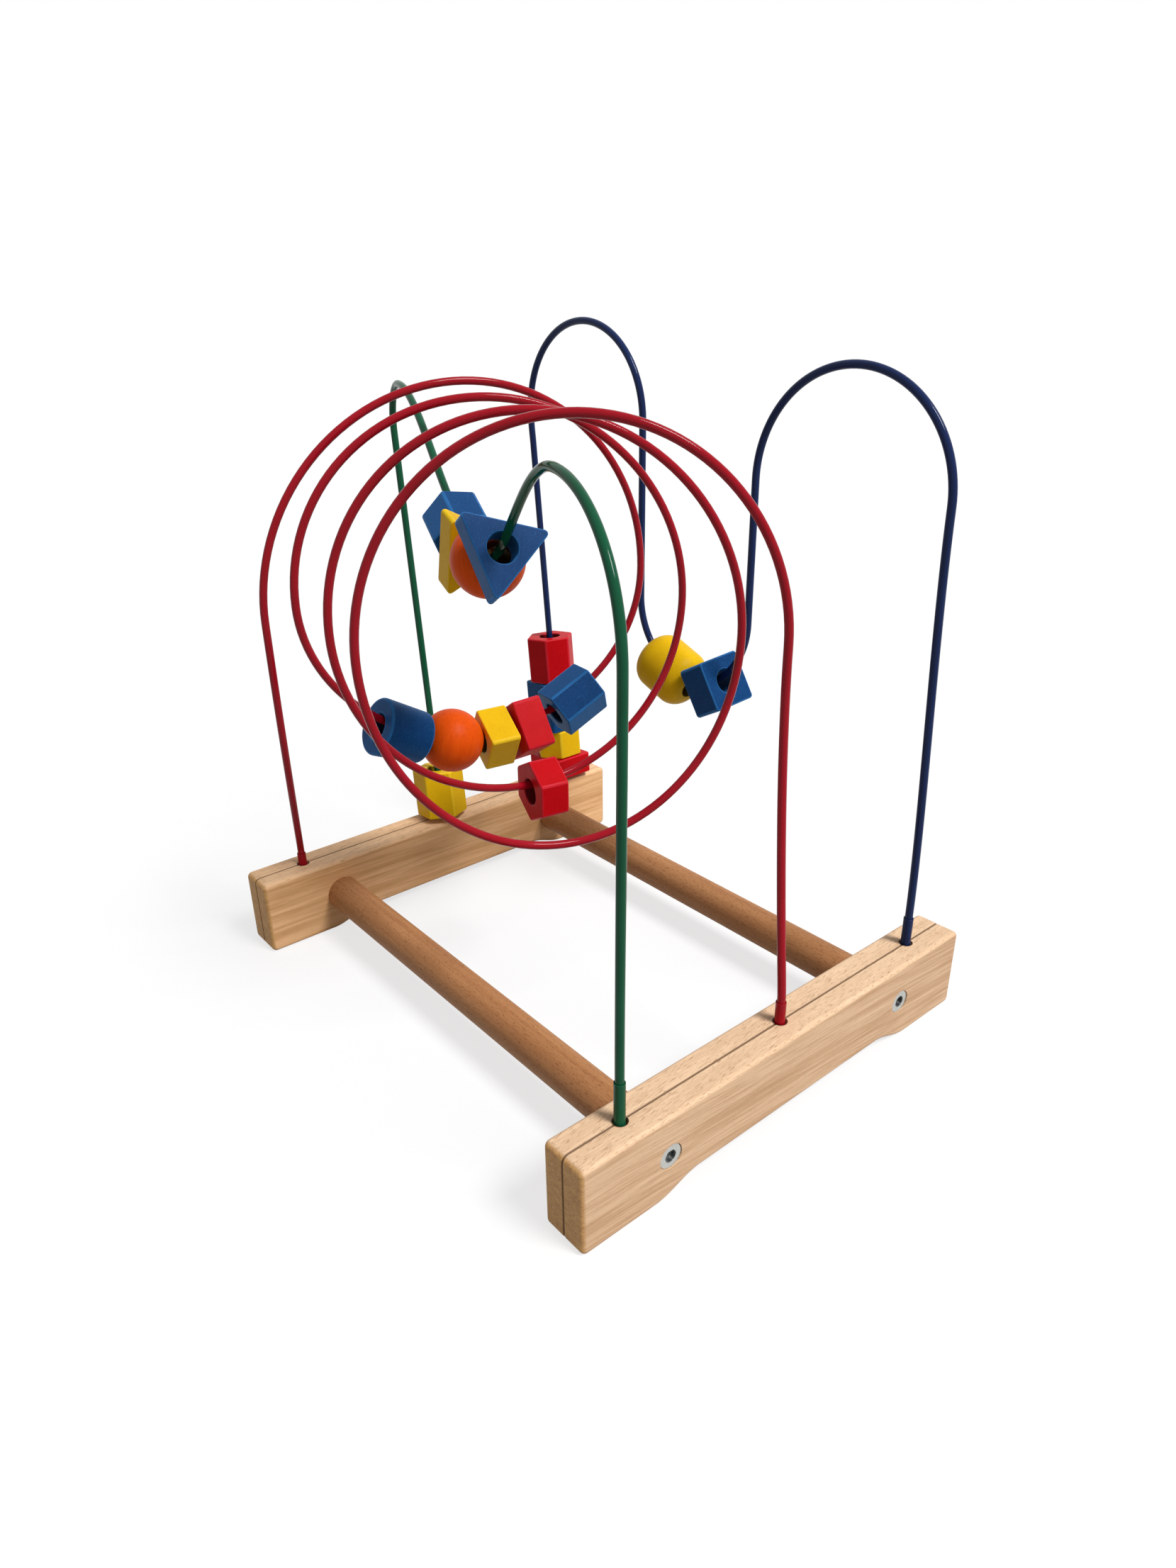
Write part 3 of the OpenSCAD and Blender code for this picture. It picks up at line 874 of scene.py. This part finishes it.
@dataclass
class Crossbars:
    """Two round bars with a screw in each end."""

    diameter: float = 20.0
    screw_d: float = 6.0
    screw_length: float = 40.0
    head_d: float = 12.4
    head_height: float = 3.0
    head_sink: float = 0.4
    socket: float = 5.4
    socket_depth: float = 2.0
    socket_taper: float = 0.9
    socket_tip: float = 0.6
    socket_turn: float = 0.4
    head_round: float = 0.55
    screw_round: float = 0.15
    end_round: float = 0.8
    end_gap: float = 0.1
    screw_gap: float = 0.05
    wood: Timber = Timber(
        "flecked_dowel", (0.50, 0.240, 0.100), (0.37, 0.155, 0.058), (0.20, 0.075, 0.026), Grain.ALONG_X,
        band=9.0, flecks=0.8, fleck_length=2.4,
    )
    plate: Zinc = Zinc("bright_zinc")

    def bar(self, y: float) -> Piece:
        """Models one bar with softened ends and its screw holes.

        Args:
            y: place along the rails.

        Returns:
            The bar, in its place.
        """
        piece = Bench.cylinder(self.diameter / 2, 2 * Plan.SEAM_X - self.end_gap, LARGE_ROUND)
        reach = self.screw_length - (Plan.BOARD - self.head_height - self.head_sink) + 1.0
        for end in (-1, 1):
            tool = Bench.cylinder(self.screw_d / 2 + self.screw_gap, reach + OVERLAP, SMALL_ROUND)
            Bench.set_down(tool, Matrix.Translation((0, 0, end * (Plan.SEAM_X - (reach - OVERLAP) / 2) * MM)))
            Bench.cut(piece, tool)
        Bench.soften(piece, self.end_round)
        turn = Matrix.Rotation(math.pi / 2, 4, "Y")
        Bench.set_down(piece, Matrix.Translation((Vector((0, y, Plan.BAR_Z)) + SHIFT) * MM) @ turn)
        Bench.smooth(piece)
        return piece

    def screw(self) -> Piece:
        """Models one screw along Z, its shank up.

        Returns:
            The screw, with its head's outer face at the origin.
        """
        piece = Bench.cylinder(self.head_d / 2, self.head_height, ROUND)
        Bench.set_down(piece, Matrix.Translation((0, 0, self.head_height / 2 * MM)))
        Bench.edit(piece)
        Bench.pick_top(piece)
        bpy.ops.mesh.inset(thickness=(self.head_d - self.screw_d) / 2 * MM)
        bpy.ops.mesh.extrude_region_move(TRANSFORM_OT_translate={"value": (0, 0, self.screw_length * MM)})
        Bench.round_edges(piece, lambda a, b: a.z < CLOSE and b.z < CLOSE, self.head_round, 4)
        Bench.done()
        tool = Bench.cylinder(self.socket / 2 / math.cos(math.pi / 6), 2 * self.socket_depth, 6)
        Bench.edit(tool)
        Bench.pick_top(tool)
        bpy.ops.mesh.inset(thickness=self.socket_taper * MM)
        bpy.ops.transform.translate(value=(0, 0, self.socket_tip * MM))
        Bench.done()
        Bench.cut(piece, tool)
        Bench.soften(piece, self.screw_round, 2, 50.0)
        Bench.smooth(piece, 30.0)
        return piece

    def build(self) -> None:
        """Builds and dresses both bars and the four screws."""
        finish = self.wood.make()
        for name, y in (("near", -Plan.BAR_Y), ("far", Plan.BAR_Y)):
            show(self.bar(y), f"crossbar_{name}", "base", finish)
        pattern = self.screw()
        screws = []
        for side in (-1, 1):
            for y in (-Plan.BAR_Y, Plan.BAR_Y):
                # Each socket stands at an angle of its own.
                roll = Matrix.Rotation(self.socket_turn * side + y, 4, "Z")
                piece = pattern.copy()
                piece.data = pattern.data.copy()
                bpy.context.scene.collection.objects.link(piece)
                face = Vector((side * (Plan.SEAM_X + Plan.BOARD - self.head_sink), y, Plan.BAR_Z)) + SHIFT
                turn = Matrix.Rotation(-side * math.pi / 2, 4, "Y") @ roll
                Bench.set_down(piece, Matrix.Translation(face * MM) @ turn)
                screws.append(piece)
        bpy.data.objects.remove(pattern)
        show(Bench.join(screws), "screws", "base", self.plate.make())


@dataclass
class Wires:
    """Three bent wires and the sleeves round their feet."""

    wire_d: float = 4.0
    sleeve_wall: float = 0.45
    lip_round: float = 0.18
    gap: float = 0.05
    straight: float = 2.0
    rear_sleeve: float = 7.0
    front_sleeve: dict[str, float] = field(default_factory=lambda: {"red": 11.0, "blue": 15.0, "green": 20.0})
    steps: int = 64
    finishes: dict[str, Enamel] = field(
        default_factory=lambda: {
            "red": Enamel("deep_red_enamel", (0.30, 0.003, 0.010), (0.44, 0.008, 0.022)),
            "blue": Enamel("navy_enamel", (0.006, 0.016, 0.075), (0.014, 0.034, 0.130)),
            "green": Enamel("dark_green_enamel", (0.004, 0.070, 0.030), (0.010, 0.130, 0.060)),
        }
    )

    def hole(self, colour: str, rear: bool) -> Vector:
        """Mouth of a wire's hole in the top of a rail."""
        across = {"red": (0.0, -1.0), "blue": (1.0, 1.0), "green": (-1.0, 0.0)}[colour][rear]
        return Vector((-Plan.SEAM_X if rear else Plan.SEAM_X, across * Plan.HOLE_Y, Plan.HEIGHT))

    def sleeve_top(self, colour: str, rear: bool) -> float:
        """How far a sleeve stands out of its rail."""
        return self.rear_sleeve if rear else self.front_sleeve[colour]

    def foot(self, colour: str, rear: bool) -> list[Vector]:
        """Lower end of a wire and the point where it leaves its sleeve."""
        mouth, top = self.hole(colour, rear), self.sleeve_top(colour, rear)
        return [mouth - UP * Plan.HOLE_DEPTH, mouth + UP * (top + self.straight)]

    def arc(self, a: Vector, b: Vector, rise: float) -> list[Vector]:
        """Half a turn between two sides, over the top or below.

        Args:
            a: first side, where the wire runs straight up or down.
            b: second side.
            rise: height of the turn, below zero for a dip.

        Returns:
            Points after the first side.
        """
        turns = [math.pi * i / self.steps for i in range(1, self.steps + 1)]
        return [(a + b) / 2 - (b - a) / 2 * math.cos(t) + UP * (rise * math.sin(t)) for t in turns]

    def curve(self, a: Vector, b: Vector, c: Vector, d: Vector) -> list[Vector]:
        """Bezier curve.

        Args:
            a: first point.
            b: handle of the first point.
            c: handle of the last point.
            d: last point.

        Returns:
            Points after the first one.
        """
        made = []
        for i in range(1, self.steps // 2 + 1):
            t = 2 * i / self.steps
            s = 1 - t
            made.append(a * s**3 + b * (3 * s * s * t) + c * (3 * s * t * t) + d * t**3)
        return made

    def red(self) -> list[Vector]:
        """Route of the spiral.

        Returns:
            Points from foot to foot.
        """
        near_sides = ((-108, -113, 156), (-67, -114, 173), (-25, -119, 170), (9, -125, 167))
        far_sides = ((-52, 90, 163), (9, 63, 162), (72, 39, 160), (123, 10, 172))
        near = [Vector(side) + UP * Plan.HEIGHT for side in near_sides]
        far = [Vector(side) + UP * Plan.HEIGHT for side in far_sides]
        rises, drops = (106.0, 94.0, 95.0, 93.0), (82.0, 90.0, 97.0)
        start, end = self.foot("red", True), self.foot("red", False)
        path = start + self.curve(start[1], start[1] + UP * 8, near[0] - UP * 70, near[0])
        for i in range(4):
            path += self.arc(near[i], far[i], rises[i])
            if i < 3:
                path += self.arc(far[i], near[i + 1], -drops[i])
        return path + self.curve(far[3], far[3] - UP * 70, end[1] + UP * 8, end[1]) + [end[0]]

    def blue(self) -> list[Vector]:
        """Route with two humps and a deep dip.

        Returns:
            Points from foot to foot.
        """

        def at(x: float, z: float) -> Vector:
            """Point in the upright plane of the wire."""
            return Vector((x, Plan.HOLE_Y, Plan.HEIGHT + z))

        start, end = self.foot("blue", False), self.foot("blue", True)
        front, dip_front, dip_rear, rear = 135.0, 24.0, -60.0, -162.0
        high_front, low, high_rear = 218.0, 143.0, 240.0
        leg_top = at(rear + 1.5, high_rear - 20)
        lean = (leg_top - end[1]).normalized()
        top, last = at(front, high_front), at(rear, high_rear)
        path = start + self.curve(start[1], start[1] + UP * 60, at(front, high_front - 60), top)
        path += self.arc(top, at(dip_front, high_front), (front - dip_front) / 2)
        path += [at(dip_front, low)]
        path += self.arc(at(dip_front, low), at(dip_rear, low), -(dip_front - dip_rear) / 2)
        path += [at(dip_rear, high_rear)]
        path += self.arc(at(dip_rear, high_rear), last, (dip_rear - rear) / 2)
        path += self.curve(last, at(rear, high_rear - 10), leg_top + lean * 8, leg_top)
        return path + [end[1], end[0]]

    def green(self) -> list[Vector]:
        """Route with two shallow humps and a wide dip, across the toy.

        Returns:
            Points from foot to foot.
        """
        start, end = self.foot("green", False), self.foot("green", True)
        hole, reach = self.hole("green", False), Vector((-170.0, 5.0, 0.0))
        line = Vector((reach.x - hole.x, reach.y - hole.y, 0.0))
        way = line.normalized()

        def at(s: float, z: float) -> Vector:
            """Point in the upright plane of the wire."""
            return hole + way * s + UP * z

        front, crest, low, rear = at(-2, 190), at(60, 247), at(150, 197), at(306, 261)
        side = at(line.length, 234)
        lean = (side - end[1]).normalized()
        path = start + self.curve(start[1], start[1] + UP * 50, front - UP * 50, front)
        path += self.curve(front, front + UP * 34, crest - way * 34, crest)
        path += self.curve(crest, crest + way * 34, low - way * 28, low)
        path += self.curve(low, low + way * 70, rear - way * 54, rear)
        path += self.curve(rear, rear + way * 14, side + lean * 13, side)
        return path + [end[1], end[0]]

    def draw(self, points: list[Vector]) -> Piece:
        """Draws a round wire along a route and makes it a mesh.

        Args:
            points: the route in millimetres.

        Returns:
            The wire, in its place.
        """
        Bench.clear()
        bpy.ops.curve.primitive_nurbs_path_add()
        piece = bpy.context.object
        shape = piece.data
        shape.splines.clear()
        spline = shape.splines.new("POLY")
        spline.points.add(len(points) - 1)
        for target, point in zip(spline.points, points):
            target.co = (*((point + SHIFT) * MM), 1.0)
        shape.dimensions = "3D"
        shape.twist_mode = "MINIMUM"
        shape.bevel_depth = self.wire_d / 2 * MM
        shape.bevel_resolution = 5
        shape.use_fill_caps = True
        Bench.take(piece)
        bpy.ops.object.convert(target="MESH")
        piece = bpy.context.object
        Bench.edit(piece)
        bpy.ops.mesh.select_all(action="SELECT")
        bpy.ops.mesh.remove_doubles(threshold=CLOSE * MM)
        bpy.ops.mesh.normals_make_consistent(inside=False)
        Bench.done()
        Bench.take(piece)
        bpy.ops.object.shade_smooth_by_angle(angle=math.radians(50))
        return piece

    def sleeve(self, colour: str, rear: bool) -> Piece:
        """Models the thin sleeve round a wire's foot, with a rounded lip.

        Args:
            colour: the wire.
            rear: whether it is in the rear rail.

        Returns:
            The sleeve, in its place.
        """
        height = Plan.HOLE_DEPTH + self.sleeve_top(colour, rear)
        inner = self.wire_d / 2 + self.gap
        piece = Bench.cylinder(inner + self.sleeve_wall, height, SMALL_ROUND)
        Bench.cut(piece, Bench.cylinder(inner, height + 4 * OVERLAP, SMALL_ROUND))
        Bench.soften(piece, self.lip_round, 3)
        middle = self.hole(colour, rear) + UP * (height / 2 - Plan.HOLE_DEPTH) + SHIFT
        Bench.set_down(piece, Matrix.Translation(middle * MM))
        Bench.smooth(piece)
        return piece

    def build(self) -> None:
        """Builds and dresses the wires and the sleeves."""
        for colour, route in (("red", self.red), ("blue", self.blue), ("green", self.green)):
            finish = self.finishes[colour].make()
            show(self.draw(route()), f"wire_{colour}", "base", finish)
            for name, rear in (("front", False), ("rear", True)):
                show(self.sleeve(colour, rear), f"sleeve_{colour}_{name}", "base", finish)


class Form(Enum):
    """The bead shapes."""

    TRIANGLE = 3
    SQUARE = 4
    HEXAGON = 6
    BALL = 7
    BARREL = 8
    CONE = 9


@dataclass(frozen=True)
class Bead:
    """One bead: its shape, paint, size and seat on the wire.

    The middle is in millimetres before the shift, the bore points along the wire, and the roll turns
    the bead about it.
    """

    node: str
    form: Form
    paint: BeadPaint
    middle: Point
    bore: Point
    length: float
    width: float
    roll: float = 0.0
    mouth: float = 7.4

    def place(self) -> Matrix:
        """Finds the bead's own frame.

        Returns:
            Where it is, with the bore along its Z.
        """
        way = Vector(self.bore).normalized()
        heading = Matrix.Rotation(math.atan2(way.y, way.x), 4, "Z")
        pitch = Matrix.Rotation(-math.asin(way.z), 4, "Y")
        roll = Matrix.Rotation(math.radians(self.roll), 4, "X")
        lie = Matrix.Rotation(math.pi / 2, 4, "Y")
        return Matrix.Translation((Vector(self.middle) + SHIFT) * MM) @ heading @ pitch @ roll @ lie


@dataclass
class Beads:
    """All beads with their bores and rounded edges."""

    bore_d: float = 13.5
    long_round: float = 2.0
    rim_round: float = 1.0
    cone_round: float = 2.2
    barrel_round: float = 10.0
    cone_small: float = 27.5
    flat_area: float = 12.0
    beads: tuple[Bead, ...] = (
        Bead("red_square_yellow", Form.SQUARE, BeadPaint.YELLOW,
             (-57.83, -12.48, 126.97), (0.1943, 0.9808, 0.0192), 17.0, 24.5, 76.5),
        Bead("red_ball_orange", Form.BALL, BeadPaint.ORANGE,
             (-61.43, -38.28, 131.17), (0.0707, 0.9615, -0.2654), 34.0, 34.0),
        Bead("red_cone_blue", Form.CONE, BeadPaint.BLUE,
             (-63.63, -68.23, 143.25), (0.0744, 0.8854, -0.4588), 27.0, 30.5),
        Bead("red_square_red", Form.SQUARE, BeadPaint.RED,
             (-56.59, 7.07, 127.57), (0.1338, 0.9887, 0.0679), 17.0, 28.5, 12.9),
        Bead("red_hex_blue", Form.HEXAGON, BeadPaint.BLUE,
             (-55.23, 40.68, 136.92), (0.1269, 0.8803, 0.4571), 28.0, 32.0, 28.7),
        Bead("red_hex_red", Form.HEXAGON, BeadPaint.RED,
             (-5.35, -20.35, 116.45), (0.2059, 0.9785, 0.0074), 15.5, 34.0, 1.6),
        Bead("blue_barrel_yellow", Form.BARREL, BeadPaint.YELLOW,
             (-33.19, 98.00, 147.42), (0.9336, 0.0000, -0.3584), 36.0, 34.0),
        Bead("blue_square_blue", Form.SQUARE, BeadPaint.BLUE,
             (2.58, 98.50, 147.46), (0.8735, -0.0458, 0.4847), 19.0, 28.5, 50.0),
        Bead("blue_slab_red", Form.SQUARE, BeadPaint.RED,
             (-141.47, 98.00, 52.71), (-0.0897, 0.0000, 0.9960), 14.0, 30.0, 45.0),
        Bead("blue_slab_yellow", Form.HEXAGON, BeadPaint.YELLOW,
             (-142.99, 98.00, 69.54), (-0.0897, 0.0000, 0.9960), 19.0, 32.0, 30.0),
        Bead("blue_block_blue", Form.SQUARE, BeadPaint.BLUE,
             (-145.36, 98.00, 95.84), (-0.0897, 0.0000, 0.9960), 33.0, 27.0, 45.0),
        Bead("blue_hex_red", Form.HEXAGON, BeadPaint.RED,
             (-148.22, 98.00, 127.61), (-0.0897, 0.0000, 0.9960), 30.0, 32.0, 12.0),
        Bead("green_triangle_blue", Form.TRIANGLE, BeadPaint.BLUE,
             (23.22, -60.79, 249.00), (-0.8517, 0.2538, -0.4585), 12.0, 40.5, 17.8),
        Bead("green_ball_orange", Form.BALL, BeadPaint.ORANGE,
             (1.05, -51.56, 240.28), (-0.9397, 0.3107, -0.1430), 34.0, 34.0, 0.0, 10.5),
        Bead("green_triangle_yellow", Form.TRIANGLE, BeadPaint.YELLOW,
             (-23.57, -45.73, 240.60), (-0.9281, 0.1686, 0.3320), 12.0, 40.5, 28.5, 11.5),
        Bead("green_hex_blue", Form.HEXAGON, BeadPaint.BLUE,
             (-43.01, -36.99, 246.09), (-0.8798, 0.2909, 0.3760), 22.0, 32.0, 36.6),
        Bead("green_hex_yellow", Form.HEXAGON, BeadPaint.YELLOW,
             (-142.55, 0.18, 61.30), (-0.1256, 0.0220, 0.9918), 30.0, 32.0, 8.0),
    )

    def prism(self, corners: int, reach: float, length: float) -> Piece:
        """Models a bead with flat sides and round long edges, still without its bore.

        Args:
            corners: number of sides.
            reach: from the middle to a corner.
            length: along the bore.

        Returns:
            The prism, with its first corner along X.
        """
        piece = Bench.cylinder(reach, length, corners)
        Bench.edit(piece)
        offset = self.long_round / math.tan(math.pi / 2 - math.pi / corners)
        Bench.round_edges(piece, lambda a, b: abs(a.z - b.z) > 0.5 * length, offset, 6)
        Bench.done()
        Bench.set_down(piece, Matrix.Rotation(-math.pi / 2, 4, "Z"))
        return piece

    def barrel(self, diameter: float, length: float) -> Piece:
        """Models a drum with widely rounded rims, still without its bore.

        Args:
            diameter: of its middle.
            length: along the bore.

        Returns:
            The drum.
        """
        piece = Bench.cylinder(diameter / 2, length, LARGE_ROUND)
        Bench.edit(piece)
        Bench.round_edges(piece, lambda a, b: abs(a.z - b.z) < CLOSE, self.barrel_round, 14)
        Bench.done()
        return piece

    def rub(self, piece: Piece) -> None:
        """Marks the rounded edges between the flat faces, where the paint rubs off.

        Args:
            piece: the bead.
        """
        least = self.flat_area * MM * MM
        flat = {i for face in piece.data.polygons if face.area > least for i in face.vertices}
        marks = piece.data.attributes.new(WEAR, "FLOAT", "POINT")
        for i, mark in enumerate(marks.data):
            mark.value = 0.0 if i in flat else 1.0

    def shape(self, bead: Bead) -> Piece:
        """Models one bead with its bore and puts it in its seat.

        Args:
            bead: the bead.

        Returns:
            The finished piece.
        """
        if bead.form is Form.BALL:
            Bench.clear()
            radius = bead.width / 2 * MM
            bpy.ops.mesh.primitive_uv_sphere_add(segments=LARGE_ROUND, ring_count=ROUND, radius=radius)
            piece = bpy.context.object
        elif bead.form is Form.BARREL:
            piece = self.barrel(bead.width, bead.length)
        elif bead.form is Form.CONE:
            piece = Bench.cylinder(bead.width / 2, bead.length, LARGE_ROUND, self.cone_small / 2)
        else:
            reach = {Form.TRIANGLE: bead.width / math.sqrt(3), Form.SQUARE: bead.width / math.sqrt(2)}
            piece = self.prism(bead.form.value, reach.get(bead.form, bead.width / 2), bead.length)
        Bench.cut(piece, Bench.cylinder(self.bore_d / 2, bead.length + 8 * OVERLAP, ROUND))
        Bench.soften(piece, self.cone_round if bead.form is Form.CONE else self.rim_round, 4)
        if bead.form not in (Form.BALL, Form.BARREL):
            self.rub(piece)
        Bench.set_down(piece, bead.place())
        Bench.smooth(piece)
        return piece

    def build(self) -> None:
        """Builds and dresses every bead."""
        for bead in self.beads:
            finish = bead.paint.value.make(f"{bead.node}_paint", bead.place(), bead.mouth)
            show(self.shape(bead), bead.node, bead.node, finish)


@dataclass
class Studio:
    """White floor and backdrop, soft light and the camera of the photograph."""

    camera_at: Point = (381.09, -311.46, 341.82)
    ahead: Point = (-0.6981, 0.5805, -0.4191)
    roll: float = 0.75
    lens: float = 23.715
    sensor: float = 36.0
    floor_size: float = 40.0
    sky: float = 0.30
    sun: float = 3.3
    sun_spread: float = 20.0
    sun_from: Point = (0.566, 0.189, 0.80)
    bounce: float = 0.34
    glow: float = 0.72

    def camera(self) -> None:
        """Sets the camera up as in the photograph."""
        data = bpy.data.cameras.new("photo_camera")
        data.sensor_fit = "VERTICAL"
        data.sensor_height = data.sensor_width = self.sensor
        data.lens = self.lens
        data.clip_start = 0.01
        data.clip_end = 100.0
        camera = bpy.data.objects.new("photo_camera", data)
        bpy.context.scene.collection.objects.link(camera)
        ahead = Vector(self.ahead).normalized()
        right = ahead.cross(Vector((0, 0, 1))).normalized()
        down = ahead.cross(right).normalized()
        turn = math.radians(self.roll)
        across = right * math.cos(turn) + down * math.sin(turn)
        below = down * math.cos(turn) - right * math.sin(turn)
        frame = Matrix((across, -below, -ahead)).transposed().to_4x4()
        camera.matrix_world = Matrix.Translation((Vector(self.camera_at) + SHIFT) * MM) @ frame
        bpy.context.scene.camera = camera

    def floor(self) -> None:
        """Pale floor that keeps the shadow and shows white to the camera."""
        Bench.clear()
        bpy.ops.mesh.primitive_plane_add(size=self.floor_size)
        plane = bpy.context.object
        plane.name = "pale_floor"
        shader = Shader("pale_floor")
        grain = shader.noise(shader.place(), (30.0, 30.0, 30.0), 2.0)
        shader.set(
            Base_Color=shader.blend(grain, (0.91, 0.91, 0.91), (0.94, 0.94, 0.94)),
            Roughness=0.9,
            Specular_IOR_Level=0.0,
        )
        grey = (self.bounce, self.bounce, self.bounce, 1.0)
        dull = shader.node("ShaderNodeBsdfDiffuse", {}, {"Color": grey})
        white = shader.node("ShaderNodeEmission", {}, {"Color": (1.0, 1.0, 1.0, 1.0), "Strength": 1.0})
        lit = {0: self.glow, 1: shader.surface.outputs[0], 2: white.outputs[0]}
        pale = shader.node("ShaderNodeMixShader", {}, lit)
        either = {0: shader.seen(), 1: dull.outputs[0], 2: pale.outputs[0]}
        both = shader.node("ShaderNodeMixShader", {}, either)
        shader.feed(shader.output.inputs["Surface"], both.outputs[0])
        plane.data.materials.append(shader.material)

    def light(self) -> None:
        """Broad soft key light and an even sky that is white to the camera."""
        scene = bpy.context.scene
        lamp = bpy.data.lights.new("broad_key", "SUN")
        lamp.energy = self.sun
        lamp.angle = math.radians(self.sun_spread)
        key = bpy.data.objects.new("broad_key", lamp)
        key.rotation_euler = Vector(self.sun_from).to_track_quat("Z", "Y").to_euler()
        scene.collection.objects.link(key)
        world = bpy.data.worlds.new("even_sky")
        world.use_nodes = True
        scene.world = world
        sky = Nodes(world.node_tree)
        back = sky.tree.nodes["Background"].inputs
        reach = {"Value": sky.seen(), "To Min": self.sky, "To Max": 1.0}
        sky.feed(back["Strength"], sky.val("ShaderNodeMapRange", {}, reach))
        sky.feed(back["Color"], (1.0, 1.0, 1.0, 1.0))
        scene.view_settings.view_transform = "Standard"

    def build(self) -> None:
        """Builds camera, floor and light."""
        self.camera()
        self.floor()
        self.light()


def main() -> None:
    """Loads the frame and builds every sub-assembly."""
    logging.basicConfig(level=logging.INFO, format="%(name)s %(message)s")
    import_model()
    Studio().build()
    Rails().build()
    Crossbars().build()
    Wires().build()
    Beads().build()
    Bench.clear()


if __name__ == "__main__":
    main()
